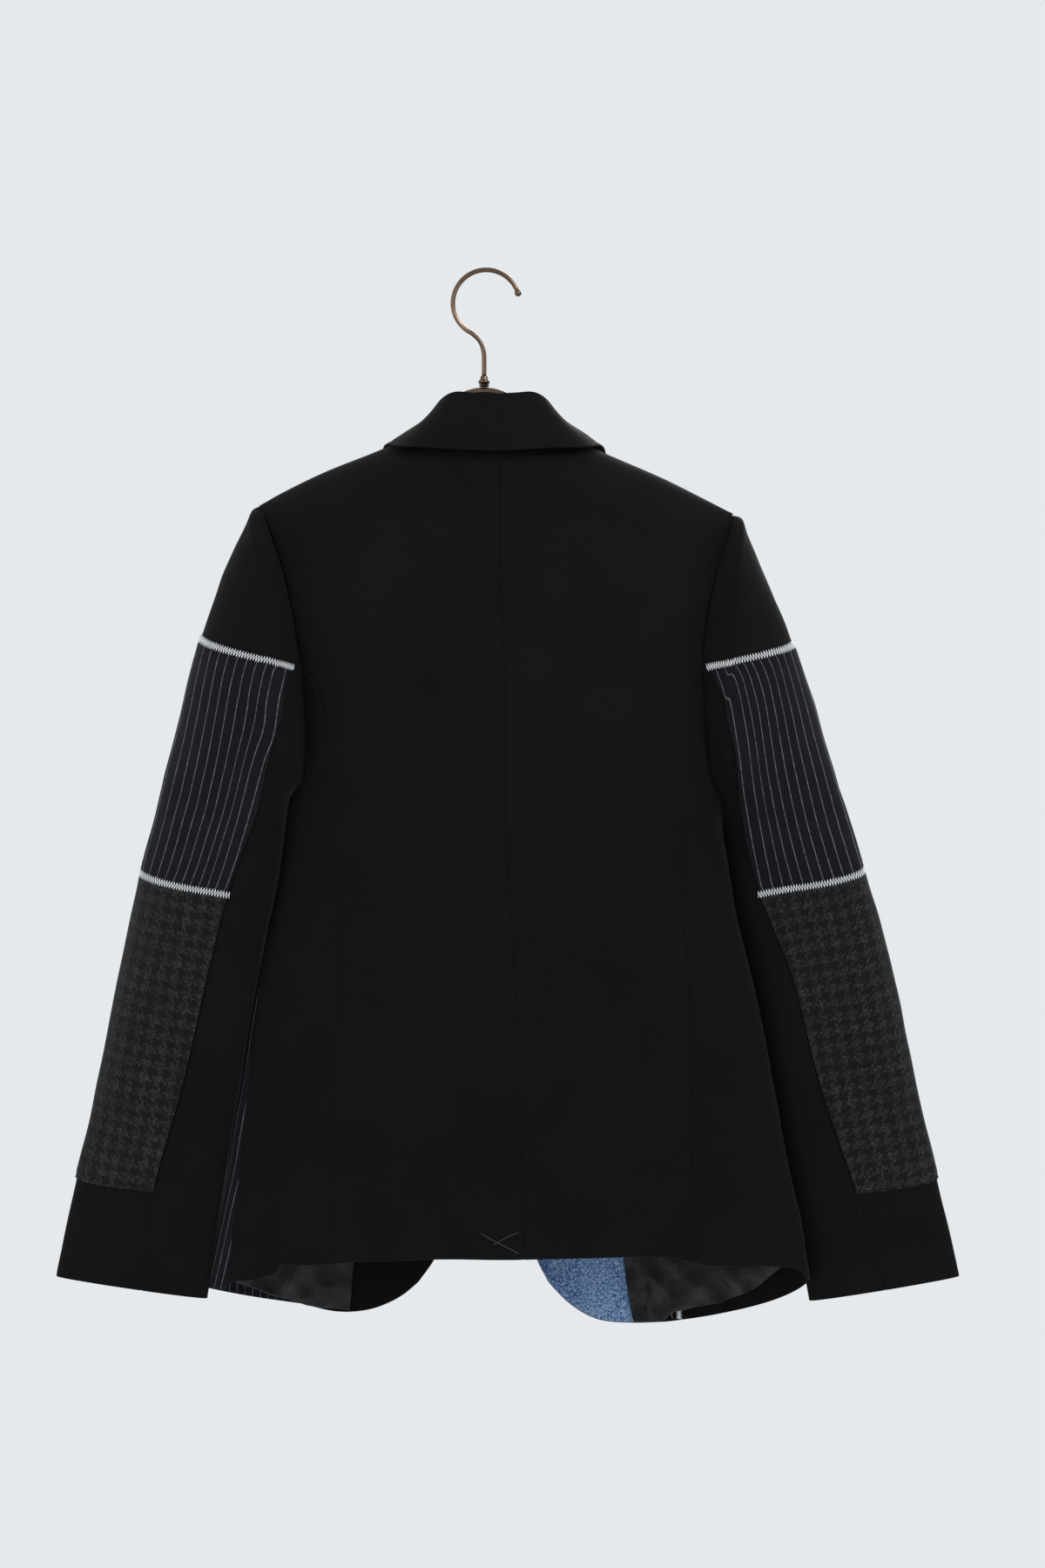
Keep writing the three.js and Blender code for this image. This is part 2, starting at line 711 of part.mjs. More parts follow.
function sleeveNormal(stations, s, j) {
  const last = stations.length - 1;
  const low = Math.max(s - 0.05, 0);
  const high = Math.min(s + 0.05, last);
  const along = sleevePoint(stations, high, j).sub(sleevePoint(stations, low, j));
  const round = sleevePoint(stations, s, j + 1).sub(sleevePoint(stations, s, j - 1));
  const n = along.cross(round).normalize();
  const middle = sleevePoint(stations, s, j).add(sleevePoint(stations, s, j + AROUND / 2)).multiplyScalar(0.5);
  const outwards = sleevePoint(stations, s, j).sub(middle);
  return n.dot(outwards) < 0 ? n.negate() : n;
}

const SLEEVE_ROWS = [0, 0.5, 1, 2, 3, 4, 4.5, 5, 5.5, 6, 6.5, 7, 7.5, 8, 9, 10, 11];

function sleeveWall(side, first, last) {
  const stations = sleeveStations(side);
  const points = [];
  const normals = [];
  for (const s of SLEEVE_ROWS) {
    const row = [];
    const turned = [];
    for (let j = first; j <= last; j += 1) {
      row.push(sleevePoint(stations, s, j));
      turned.push(sleeveNormal(stations, s, j));
    }
    points.push(row);
    normals.push(turned);
  }
  points[0].forEach((p, j) => p.add(points[1][j].clone().sub(p).setLength(SEAM_GAP)));
  openSeams(points, SLEEVE_GAP);
  return wall(points, normals, SUITING);
}

// Station at which a column of the sleeve reaches a height
function stationAt(stations, j, z) {
  let low = 0.12;
  let high = stations.length - 1;
  for (let k = 0; k < 40; k += 1) {
    const s = (low + high) / 2;
    if (sleevePoint(stations, s, j).z > z) low = s;
    else high = s;
  }
  return (low + high) / 2;
}

function patchWall(side, upper, lower, gapAbove, gapBelow) {
  const stations = sleeveStations(side);
  const first = FRONT - AROUND;
  const last = ELBOW;
  const span = [];
  for (let j = first; j <= last; j += 1) {
    const turn = Math.abs(j) / HIGH_ROWS;
    const top = stationAt(stations, j, mix(upper[0], upper[1], turn) - gapAbove);
    const bottom = stationAt(stations, j, mix(lower[0], lower[1], turn) + gapBelow);
    span.push([top, bottom]);
  }
  const highest = Math.min(...span.map(([top]) => top));
  const lowest = Math.max(...span.map(([, bottom]) => bottom));
  const shared = SLEEVE_ROWS.filter((s) => s > highest + 0.05 && s < lowest - 0.05);
  const rows = shared.length + 1;
  const points = Array.from({ length: rows + 1 }, () => []);
  const normals = Array.from({ length: rows + 1 }, () => []);
  for (let j = first; j <= last; j += 1) {
    const [top, bottom] = span[j - first];
    for (let i = 0; i <= rows; i += 1) {
      const own = i === 0 ? top : i === rows ? bottom : shared[i - 1];
      const s = Math.min(Math.max(own, top + 0.03 * i), bottom - 0.03 * (rows - i));
      const normal = sleeveNormal(stations, s, j);
      points[i].push(sleevePoint(stations, s, j).addScaledVector(normal, PATCH_LAY + PATCH_CLOTH));
      normals[i].push(normal);
    }
  }
  openSeams(points);
  return wall(points, normals, PATCH_CLOTH);
}

// Collar folded over at its roll
function collar() {
  const half = COLLAR.map((row) => [
    new THREE.Vector3(row[0], row[1], row[2]),
    new THREE.Vector3(row[3], row[4], row[5]),
    new THREE.Vector3(row[6], row[7], row[8]),
  ]);
  const mirrored = half.slice(1).reverse().map((row) => row.map((p) => new THREE.Vector3(-p.x, p.y, p.z)));
  const ribs = [...mirrored, ...half].map((row) => row.map((p) => p.clone().add(new THREE.Vector3(NECK_X, 0, 0))));
  const points = [];
  for (const [foot, roll, fall] of ribs) {
    const out = fall.clone().sub(foot).setZ(0).normalize();
    const tall = roll.z - foot.z;
    const half1 = foot.clone().lerp(roll, 0.55).addScaledVector(out, -0.5);
    const before = roll.clone().addScaledVector(out, -1.2).add(new THREE.Vector3(0, 0, -2.2));
    const after = roll.clone().addScaledVector(out, 2.4).add(new THREE.Vector3(0, 0, -2.0));
    const half2 = after.clone().lerp(fall, 0.5).addScaledVector(out, 0.03 * tall).add(new THREE.Vector3(0, 0, 0.8));
    points.push([foot, half1, before, roll, after, half2, fall]);
  }
  const normals = points.map((row, i) => row.map((p, j) => {
    const a = points[Math.min(i + 1, points.length - 1)][j].clone().sub(points[Math.max(i - 1, 0)][j]);
    const b = row[Math.min(j + 1, row.length - 1)].clone().sub(row[Math.max(j - 1, 0)]);
    return a.cross(b).normalize();
  }));
  const middle = Math.floor(points.length / 2);
  if (normals[middle][5].y > 0) normals.forEach((row) => row.forEach((n) => n.negate()));
  return wall(points, normals, SUITING);
}

// Round bar along a path, with its own radius at each point
function bar(path, radii, sides, squash = 1) {
  const position = [];
  const index = [];
  const flat = new THREE.Vector3(0, 1, 0);
  path.forEach((p, i) => {
    const a = path[Math.max(i - 1, 0)];
    const b = path[Math.min(i + 1, path.length - 1)];
    const along = b.clone().sub(a).normalize();
    const side = flat.clone().cross(along).normalize();
    for (let k = 0; k < sides; k += 1) {
      const angle = (2 * Math.PI * k) / sides;
      const q = p.clone().addScaledVector(side, radii[i] * Math.cos(angle));
      q.addScaledVector(flat, radii[i] * squash * Math.sin(angle));
      position.push(...q.toArray());
    }
  });
  const at = (i, k) => i * sides + (k % sides);
  for (let i = 0; i < path.length - 1; i += 1) {
    for (let k = 0; k < sides; k += 1) {
      index.push(at(i, k), at(i + 1, k), at(i + 1, k + 1), at(i, k), at(i + 1, k + 1), at(i, k + 1));
    }
  }
  for (let k = 1; k < sides - 1; k += 1) {
    index.push(at(0, 0), at(0, k), at(0, k + 1));
    index.push(at(path.length - 1, 0), at(path.length - 1, k + 1), at(path.length - 1, k));
  }
  return closed(position, index);
}

function hookWire() {
  const path = [];
  const radii = [];
  const centre = new THREE.Vector3(0.3, 0, -24.6);
  const at = (degrees) => {
    const a = THREE.MathUtils.degToRad(degrees);
    return new THREE.Vector3(centre.x + HOOK_RADIUS * Math.cos(a), 0, centre.z + HOOK_RADIUS * Math.sin(a));
  };
  const ball = [[12.2, 0.9], [13, 1.9], [15, 2.6], [18, BALL_RADIUS], [21, 2.5], [23, HOOK_WIRE]];
  for (const [degrees, radius] of ball) {
    path.push(at(degrees));
    radii.push(radius);
  }
  for (let degrees = 34; degrees < 232; degrees += 11) {
    path.push(at(degrees));
    radii.push(HOOK_WIRE);
  }
  const bend = new THREE.CatmullRomCurve3([
    at(234),
    new THREE.Vector3(-9.6, 0, -49.6),
    new THREE.Vector3(-4.4, 0, -55.2),
    new THREE.Vector3(STEM_X - 0.4, 0, -63),
    new THREE.Vector3(STEM_X, 0, -72),
    new THREE.Vector3(STEM_X, 0, -82),
  ]);
  for (const p of bend.getPoints(12)) {
    path.push(p);
    radii.push(HOOK_WIRE);
  }
  return bar(path, radii, 8);
}

function ferrule() {
  const profile = [
    [0, -90.7], [3.8, -90.7], [3.8, -88.2], [4.6, -87.6], [4.6, -86.2], [3.1, -85.4], [3.1, -82.4], [0, -82.4],
  ].map(([r, z]) => new THREE.Vector2(r, z));
  const geometry = new THREE.LatheGeometry(profile, 12);
  geometry.rotateX(Math.PI / 2);
  geometry.translate(STEM_X, 0, 0);
  return geometry;
}

// Shaped bar of the hanger under the shoulders
function hangerBar() {
  const path = [];
  const radii = [];
  const arch = [
    [-46, -131.6], [-32, -115.2], [-22, -101.4], [-12, -96.2], [-1.4, -94.7], [10, -96.4], [20, -101.4],
    [34, -115.4], [52, -132],
  ];
  const under = (x, radius) => [x, read(SHOULDER, x, 1) - (SUITING + 0.35 + radius) * 1.1];
  const full = [
    under(-153, 1.6),
    ...[-149, -134, -119, -104, -89, -74, -62].map((x) => under(x, BAR_RADIUS)),
    ...arch,
    ...[71, 86, 101, 116, 131, 146, 161].map((x) => under(x, BAR_RADIUS)),
    under(165, 1.6),
  ];
  full.forEach(([x, z], i) => {
    path.push(new THREE.Vector3(x, 0, z));
    radii.push(i === 0 || i === full.length - 1 ? 1.6 : BAR_RADIUS);
  });
  return bar(path, radii, 8);
}

function button(x, z) {
  const angle = angleAt(x, z, 1, 0.5 * Math.PI);
  const normal = bodyNormal(angle, z);
  const out = rightLift(x, z) + LAY_GAP + 0.2;
  const profile = [[0, 0], [8.6, 0], [BUTTON_RADIUS, 1.2], [BUTTON_RADIUS, 2.4], [9.2, BUTTON_HEIGHT], [0, BUTTON_HEIGHT - 0.8]];
  const geometry = new THREE.LatheGeometry(profile.map(([r, h]) => new THREE.Vector2(r, h)), 16);
  const turn = new THREE.Quaternion().setFromUnitVectors(new THREE.Vector3(0, 1, 0), normal);
  geometry.applyQuaternion(turn);
  const p = bodyPoint(angle, z).addScaledVector(normal, out);
  geometry.translate(p.x, p.y, p.z);
  return geometry;
}

// Cloth and metal
const wool = { color: 0x151516, roughness: 0.88, metalness: 0 };
const pinstripe = { color: 0x14151f, roughness: 0.85, metalness: 0 };
const houndstooth = { color: 0x262829, roughness: 0.95, metalness: 0 };
const denim = { color: 0x426b98, roughness: 0.9, metalness: 0 };
const satin = { color: 0x0b0b0d, roughness: 0.35, metalness: 0 };
const bronze = { color: 0x6d5746, roughness: 0.35, metalness: 0.9 };
const horn = { color: 0x17130f, roughness: 0.4, metalness: 0 };

const blazer = new THREE.Group();

function add(name, geometry, look) {
  const mesh = new THREE.Mesh(geometry, new THREE.MeshStandardMaterial(look));
  mesh.name = name;
  blazer.add(mesh);
}

for (const side of [left, right]) {
  const patch = side.sign < 0 ? PATCH_LEFT : PATCH_RIGHT;
  const n = side.name;
  add(`back_${n}`, backPanel(side), wool);
  add(`side_${n}`, underPanel(side, -1), wool);
  add(`front_side_${n}`, underPanel(side, 1), side.sign < 0 ? pinstripe : wool);
  add(`front_${n}`, frontPanel(side), wool);
  add(`facing_${n}`, insidePanel(side, FACING_LINE, 3, SUITING * 0.75, 0.4, -210, true), side.sign < 0 ? wool : denim);
  add(`lining_${n}`, insidePanel(side, LINING_SIDE, 3, LINING, 12, -330, false), satin);
  add(`lapel_${n}`, lapel(side), wool);
  add(`sleeve_top_${n}`, sleeveWall(side, FRONT - AROUND, ELBOW), wool);
  add(`sleeve_under_${n}`, sleeveWall(side, ELBOW, FRONT), wool);
  add(`patch_pinstripe_${n}`, patchWall(side, patch[0], patch[1], 0, 0.3), pinstripe);
  add(`patch_houndstooth_${n}`, patchWall(side, patch[1], patch[2], 0.3, 0), houndstooth);
}
add('back_vent_underlay', ventUnderlay(), wool);
add('collar', collar(), wool);
add('button_1', button(2, -512), horn);
add('button_2', button(2, -600), horn);
add('hanger_hook', hookWire(), bronze);
add('hanger_ferrule', ferrule(), bronze);
add('hanger_bar', hangerBar(), bronze);

export default blazer;
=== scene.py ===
import math

import bpy
import numpy as np
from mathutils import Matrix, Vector


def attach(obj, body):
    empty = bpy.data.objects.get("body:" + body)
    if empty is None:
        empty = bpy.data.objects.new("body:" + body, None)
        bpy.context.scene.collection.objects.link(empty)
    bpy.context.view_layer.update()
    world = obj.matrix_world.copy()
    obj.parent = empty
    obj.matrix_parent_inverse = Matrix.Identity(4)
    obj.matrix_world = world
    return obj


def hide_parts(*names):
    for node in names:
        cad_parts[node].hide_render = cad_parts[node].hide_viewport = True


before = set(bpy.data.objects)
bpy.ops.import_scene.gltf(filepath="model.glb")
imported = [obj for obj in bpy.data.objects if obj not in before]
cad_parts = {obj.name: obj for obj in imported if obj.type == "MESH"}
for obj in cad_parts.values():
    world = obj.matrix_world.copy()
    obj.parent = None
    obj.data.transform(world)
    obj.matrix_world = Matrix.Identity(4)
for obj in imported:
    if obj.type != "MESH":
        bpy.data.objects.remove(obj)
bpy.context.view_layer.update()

MM = 0.001
scene = bpy.context.scene

# Camera at the photograph's angle, level, facing the back of the coat
camera_data = bpy.data.cameras.new("camera")
camera_data.lens = 86.96
camera_data.sensor_width = 36.0
camera_data.sensor_fit = "AUTO"
camera_data.clip_end = 50.0
camera = bpy.data.objects.new("camera", camera_data)
scene.collection.objects.link(camera)
camera.location = (0.029, -3.0, -0.4054)
camera.rotation_euler = (math.radians(90), 0, 0)
scene.camera = camera

# Sizes in millimetres
SUITING = 1.5
LINING = 0.9
FACING_CLOTH = 1.2
PATCH_CLOTH = 1.1
PATCH_LAY = 0.35
LAY_GAP = 0.45
ROUNDNESS = 2.5
SHOULDER_RADIUS = 45.0
RIDGE_GAP = 0.25
UNDERARM_Z = -402.0
ARMHOLE_LOW_Z = -300.0
BACK_SEAM_Z = -307.0
FRONT_SEAM_Z = -330.0
OVERLAP_LIFT = 7.6
LINING_EASE = 3.0
FACING_EASE = 1.2
VENT_TOP_Z = -682.0
VENT_HEM_Z = -775.5
BACK_BLEND_Z = -325.0
FRONT_BLEND_Z = -348.0
BLEND_RISE = 18.0
BACK_HEM_Z = -776.0
BACK_BREAK_Z = -300.0
NAPE_Z = -137.5
FRONT_CORNER_Z = -806.0
FRONT_BREAK_Z = -400.0
NECK_CORNER_Z = -129.2
INSIDE_HEM_Z = -804.0
FACING_TOP_Z = -210.0
LINING_TOP_Z = -330.0
LAPEL_Z = (-486.0, -207.0)
NECK_LEFT = -58.0
NECK_RIGHT = 66.0
VENT_WIDTH = 31.0
WIRE_RADIUS = 1.9
BAR_RADIUS = 3.4
BAR_DROP = 1.95
LOW_ROWS = 9
HIGH_ROWS = 8
PATCH_WIDTH = 72.0
CORNER_TRIM = {"left": 0.35, "right": 0.15}
UNDERARM_FULL = 6.0
SLEEVE_ROUND = 0.92
UNDER_COLUMNS = 4
ELBOW = 8
INNER = 12
FRONT = 16
AROUND = 24
TIP = {"left": -186.0, "right": -192.8}
NECK_X = 6.5
SIDE_TURN = {"left": 0.4, "right": -0.05}
SIDE_HEM_Z = {"left": -802.0, "right": -796.0}
SIDE_BACK_HEM_Z = {"left": -780.6, "right": -779.5}

# height, left edge, right edge, depth of the back, depth of the front
GIRTH = np.array([
    [-60, -188, 204, 30, 28],
    [-140, -188, 204, 35, 32],
    [-186, -187, 203, 38, 34],
    [-230, -173, 191, 44, 38],
    [-300, -155, 182, 52, 44],
    [-350, -147, 179, 56, 49],
    [-402, -143, 178, 57, 52],
    [-430, -156.5, 185, 55, 50],
    [-479, -164.3, 193, 50, 48],
    [-520, -173.5, 201, 48, 47],
    [-581, -186, 216, 47, 46],
    [-632, -194.5, 226, 46, 46],
    [-694, -204, 237, 46, 46],
    [-740, -211, 246.5, 45.5, 48],
    [-800, -218.5, 257, 45, 50],
    [-860, -226, 268, 45, 52],
], float)

# x, height
SHOULDER = np.array([
    [-240, -215], [-181, -186], [-163, -175.6], [-127.6, -158.4], [-83.5, -140.8],
    [-58, -129], [-25, -111], [4, -101], [33, -111], [66, -130], [91.8, -142.4],
    [139.4, -163], [167.7, -177], [198, -192.6], [250, -219],
], float)

# height, x on the left, x on the right
ARMHOLE = np.array([
    [-186, -181, 198], [-194, -174.8, 195], [-211, -168.3, 191], [-227, -162.8, 184.8],
    [-243, -158, 180.8], [-260, -154.3, 177], [-276, -151, 174], [-300, -147.4, 171],
], float)

# height, x
CENTRE_BACK = np.array([
    [-130, 11], [-231, 11], [-333, 15], [-450, 16], [-536, 21.5], [-637, 25],
    [-705, 28], [-790, 30],
], float)

# height, x on the left, x on the right
SIDE_BACK = np.array([
    [-300, -147.4, 171], [-307, -141, 166.5], [-328, -133, 164], [-343, -129, 163],
    [-384, -123, 160.5], [-435, -121, 156.5], [-506, -116, 154.5], [-563, -115, 159.5],
    [-637, -119, 161], [-709, -119.5, 162], [-790, -120, 164],
], float)
SIDE_FRONT = np.array([
    [-330, -132, 157], [-400, -122, 148], [-480, -122, 148], [-560, -127, 150],
    [-640, -134, 153], [-720, -141, 155], [-830, -147, 157],
], float)
FRONT_EDGE = np.array([
    [-806, -55, 50], [-789, -43, 41], [-760, -28, 30], [-720, -12, 18], [-680, -1, 8],
    [-640, 8, -2], [-600, 14, -9], [-560, 18, -15], [-500, 21, -18], [-420, 4, 0],
    [-330, -16, 21], [-240, -36, 43], [-170, -51, 59], [-129, -58, 66],
], float)

# x, height
FRONT_HEM = np.array([
    [-200, -811], [-153, -821], [-125, -828], [-106, -829], [-88, -826], [-69, -817.5],
    [-55, -806], [-50, -800.5], [44, -799], [50, -806], [66, -823], [85, -835], [105, -838.5], [139, -837.5],
    [160, -835], [188, -831], [215, -822], [238, -812], [254, -801],
], float)
BACK_HEM = np.array([
    [-222, -802], [-217, -800], [-205, -797], [-181, -793.7], [-170, -790.5], [-165, -788.4],
    [-162, -782.6], [-150, -782], [-120, -780.6], [-100, -778.5], [-80, -777.5], [-39, -776.4],
    [30, -776.4], [50, -776], [107, -774.6], [137, -775], [151, -776], [165, -779.6],
    [175, -781.8], [201, -783.4], [227, -784.2], [240, -785.4], [249, -788.5], [255, -794],
    [259, -799],
], float)
LINING_EDGE = np.array([
    [-205, -801], [-196, -804.6], [-186, -807.8], [-174, -812.7], [-154, -819], [-140, -823],
    [-112, -826.4], [-100, -826.6], [100, -835], [120, -836.6], [139, -835.2], [147, -828.5], [160, -825.6],
    [188, -819.6], [216, -808], [230, -797.6], [238, -792],
], float)
# share of the way from the front seam to the side seam, share of the rise
SIDE_HEM = {
    "left": (np.linspace(0, 1, 21), np.sin(np.linspace(0, 1, 21) * math.pi / 2)),
    "right": (
        np.array([0, 0.08, 0.157, 0.26, 0.369, 0.5, 0.73, 0.86, 1.0]),
        np.array([0, 0.06, 0.13, 0.235, 0.36, 0.51, 0.77, 0.9, 1.0]),
    ),
}
NECKLINE = np.array([
    [-58, -129], [-50, -132], [-36, -135], [-16, -137], [4, -137.5], [24, -137],
    [44, -135], [58, -132], [66, -130],
], float)

# height, x on the left, x on the right
FACING_LINE = np.array([
    [-840, -113, 124], [-780, -107, 111], [-640, -98, 96], [-450, -92, 92],
    [-300, -98, 104], [-180, -112, 124],
], float)
LINING_SIDE = np.array([
    [-840, -212, 249], [-790, -203, 240], [-700, -179, 212], [-560, -150, 178], [-440, -124, 150],
    [-330, -108, 130],
], float)

# height, width beyond the roll line
LAPEL = np.array([
    [-496, 2], [-440, 30], [-370, 52], [-300, 66], [-232, 74], [-205, 50],
], float)

# outer x, outer z, inner x, inner z, middle y, half depth, elbow angle, front angle, lean
SLEEVE = {
    "left": np.array([
        [-184.8, -188.5, -145, -404.5, -1, 44, 113, 250, 0],
        [-190.5, -201, -147.5, -407, -2.2, 46, 116, 249, 1],
        [-205, -235, -150.5, -410, -4, 47, 119, 247, 1],
        [-223, -284, -154.5, -416, -5, 45, 122, 245, 2.5],
        [-247, -376, -158, -441, -7, 36, 121, 243, 6],
        [-272, -472, -165.5, -492, -7, 29, 109, 241, 8],
        [-289, -553, -176.5, -540, -6, 24, 106, 240, 9],
        [-309, -651, -194.5, -644, -5, 19, 101, 240, 9],
        [-323, -710, -204, -707, -4, 15.5, 95, 240, 9],
        [-333, -757, -212.5, -762, -3, 13.5, 94, 240, 8],
        [-341, -795.5, -219.8, -811, -2, 12, 97, 240, 8],
    ], float),
    "right": np.array([
        [202.2, -195, 180.2, -404.5, -1, 44, 113, 250, 0],
        [206.8, -208, 182.2, -407, -1.5, 46, 116, 249, -1],
        [218, -235, 184, -410, -1, 47, 119, 247, -2],
        [238.3, -284, 185.5, -416, 0, 45, 123, 245, -5],
        [268.5, -376, 187, -441, 3, 36, 128, 243, -9],
        [298, -472, 192.5, -492, 6, 29, 123, 241, -9],
        [320.5, -553, 205, -548, 7, 24, 112, 240, -9],
        [341.5, -651, 225.5, -646, 8, 19, 106, 240, -8],
        [355, -708, 237, -708, 8, 15.5, 98, 240, -7],
        [367, -758, 248.5, -765, 8, 13.5, 93, 240, -6],
        [375.4, -795, 257, -816, 8, 12, 90, 240, -5],
    ], float),
}

# height at the outer edge, height at the elbow seam
PATCH = {
    "left": [(-287, -315), (-473.7, -492), (-716.6, -726)],
    "right": [(-293, -314), (-471.7, -492), (-716.6, -729)],
}

# foot x y z, roll x y z, fall edge x y z, from the centre back to one end
COLLAR = np.array([
    [0, -34, -134.5, 0, -37.5, -100.3, 0, -44.5, -144.8],
    [16, -33.5, -134.5, 16, -37, -99.6, 20, -44.5, -144.2],
    [29, -29.5, -134, 30.5, -33, -98.6, 39, -43.5, -142.8],
    [40.5, -21, -132.5, 41, -24, -103, 59, -38.5, -141.4],
    [49.5, -9, -129, 50, -9, -112.5, 76, -25, -139.6],
    [54, 4, -124.5, 55.5, 5, -117.5, 85, -3, -136.2],
    [54, 15, -133.5, 58, 17, -125.5, 89, 21, -141.5],
    [52, 27, -150, 57, 30, -142, 89, 37, -157],
    [47.5, 36, -177, 52, 40, -169.5, 85, 47, -184.5],
], float)


def hermite(p1, p2, m1, m2, u):
    u2 = u * u
    u3 = u2 * u
    return (2 * u3 - 3 * u2 + 1) * p1 + m1 * (u3 - 2 * u2 + u) + p2 * (3 * u2 - 2 * u3) + m2 * (u3 - u2)


# Smooth curve through a table's rows, straight beyond its ends
def read(table, t, column):
    t = np.asarray(t, float)
    rows = table if table[0, 0] < table[-1, 0] else table[::-1]
    x, y = rows[:, 0], rows[:, column]
    n = len(x)
    slope = np.empty(n)
    slope[1:-1] = (y[2:] - y[:-2]) / (x[2:] - x[:-2])
    slope[0] = (y[1] - y[0]) / (x[1] - x[0])
    slope[-1] = (y[-1] - y[-2]) / (x[-1] - x[-2])
    i = np.clip(np.searchsorted(x, t) - 1, 0, n - 2)
    w = x[i + 1] - x[i]
    u = (t - x[i]) / w
    out = hermite(y[i], y[i + 1], slope[i] * w, slope[i + 1] * w, np.clip(u, 0, 1))
    out = np.where(u < 0, y[i] + slope[i] * (t - x[i]), out)
    return np.where(u > 1, y[i + 1] + slope[i + 1] * (t - x[i + 1]), out)


def ease(t):
    u = np.clip(t, 0, 1)
    return u * u * (3 - 2 * u)


def mix(a, b, t):
    return a + (b - a) * t


def unit(v):
    return v / np.maximum(np.linalg.norm(v, axis=-1, keepdims=True), 1e-9)


# Length run along a grid or line of points, from 0 at its start
def lengths(points, axis=0):
    run = np.cumsum(np.linalg.norm(np.diff(points, axis=axis), axis=-1), axis=axis)
    return np.concatenate([0 * np.take(run, [0], axis), run], axis=axis)


def column_of(side):
    return 1 if side == "left" else 2


def sign_of(side):
    return -1 if side == "left" else 1


def side_angle(side):
    return math.pi if side == "left" else 2 * math.pi


def front_angle(side):
    return 0.5 * math.pi if side == "left" else 2.5 * math.pi


# Middle, half width, depth of the back and depth of the front at a height
def girth(z):
    left, right, back, front = (read(GIRTH, z, k) for k in range(1, 5))
    return (left + right) / 2, (right - left) / 2, back, front


# Share of the full depth below the shoulder line, which rounds the shoulders over
def roof(drop):
    d = np.clip(drop / SHOULDER_RADIUS, 0, 1)
    return np.sqrt(1 - (1 - d) ** 2)


# Point on the body at an angle round it: the back is at negative y, and left is at pi
def body_point(angle, z):
    middle, half, back, front = girth(z)
    c = np.cos(angle)
    s = np.sin(angle)
    x = middle + half * np.sign(c) * np.abs(c) ** (2 / ROUNDNESS)
    depth = np.where(s < 0, back, front)
    rise = roof(read(SHOULDER, x, 1) - z)
    y = np.sign(s) * (depth * np.abs(s) ** (2 / ROUNDNESS) * rise + RIDGE_GAP * (1 - rise))
    return np.stack([x, y, z + 0 * x], -1)


def body_normal(angle, z):
    middle, half, back, front = girth(z)
    middle1, half1, back1, front1 = girth(z + 1)
    c = np.cos(angle)
    s = np.sin(angle)
    face = np.where(s < 0, -1.0, 1.0)
    t = np.sign(c) * np.abs(c) ** (2 / ROUNDNESS)
    x = middle + half * t
    drop = read(SHOULDER, x, 1) - z
    rise = np.maximum(roof(drop), 0.01)
    steep = (1 - np.clip(drop / SHOULDER_RADIUS, 0, 1)) / (SHOULDER_RADIUS * rise)
    run = (read(SHOULDER, x + 1, 1) - read(SHOULDER, x - 1, 1)) / 2
    inside = np.maximum(1 - np.abs(t) ** ROUNDNESS, 1e-5)
    g0 = inside ** (1 / ROUNDNESS)
    g1 = -np.sign(t) * np.abs(t) ** (ROUNDNESS - 1) * inside ** (1 / ROUNDNESS - 1)
    depth = np.where(face < 0, back, front)
    depth_slope = np.where(face < 0, back1, front1) - depth
    t_slope = (x - middle1) / half1 - t
    dx = depth * (g1 / half) * rise + depth * g0 * steep * run
    dz = depth_slope * g0 * rise + depth * g1 * t_slope * rise - depth * g0 * steep
    return unit(np.stack([-dx, face, -dz], -1))


def turn_near(angle, near):
    return angle - 2 * np.pi * np.round((angle - near) / (2 * np.pi))


# Angle of the point at x on the back (face -1) or the front (face 1)
def angle_at(x, z, face, near):
    middle, half, _, _ = girth(z)
    t = np.clip((x - middle) / half, -1, 1)
    c = np.sign(t) * np.abs(t) ** (ROUNDNESS / 2)
    s = face * np.sqrt(np.maximum(1 - c * c, 0))
    return turn_near(np.arctan2(s, c), near)


# Angle of the armhole's edge: from its table above, and from a round curve below
def armhole_angle(side, z, face):
    z = np.asarray(z, float)
    near = side_angle(side)
    col = column_of(side)
    high = angle_at(read(ARMHOLE, z, col), z, face, near)
    low_z = ARMHOLE_LOW_Z
    start = angle_at(read(ARMHOLE, low_z, col), low_z, face, near)
    _, _, b0, f0 = girth(low_z)
    y0 = (b0 if face < 0 else f0) * abs(math.sin(float(start))) ** (2 / ROUNDNESS)
    low = (low_z - z) / (low_z - UNDERARM_Z)
    y = y0 * np.sqrt(np.maximum(1 - low * low, 0))
    _, _, b, f = girth(z)
    s = np.minimum((y / (b if face < 0 else f)) ** (ROUNDNESS / 2), 1)
    under = turn_near(np.arctan2(face * s, sign_of(side) * np.sqrt(1 - s * s)), near)
    return np.where(z >= low_z, high, under)


# Rows of a seam, as a share from 0 at the hem to 1 at its end
LOW = np.linspace(0, 1, 100)
HIGH = np.linspace(0, 1, 61)[1:]


def low_heights(bottom, top):
    return mix(bottom, top, LOW)


def high_heights(bottom, top):
    return top - (top - bottom) * (1 - HIGH) ** 1.7


def seam(table, column, heights, face, near):
    return angle_at(read(table, heights, column), heights, face, near), heights


def joined(*parts):
    return np.concatenate([p[0] for p in parts]), np.concatenate([p[1] for p in parts])


def side_back_seam(side):
    z = low_heights(SIDE_BACK_HEM_Z[side], BACK_SEAM_Z)
    a, z = seam(SIDE_BACK, column_of(side), z, -1, side_angle(side))
    blend = ease((z - BACK_BLEND_Z) / BLEND_RISE)
    return a * (1 - blend) + armhole_angle(side, z, -1) * blend, z


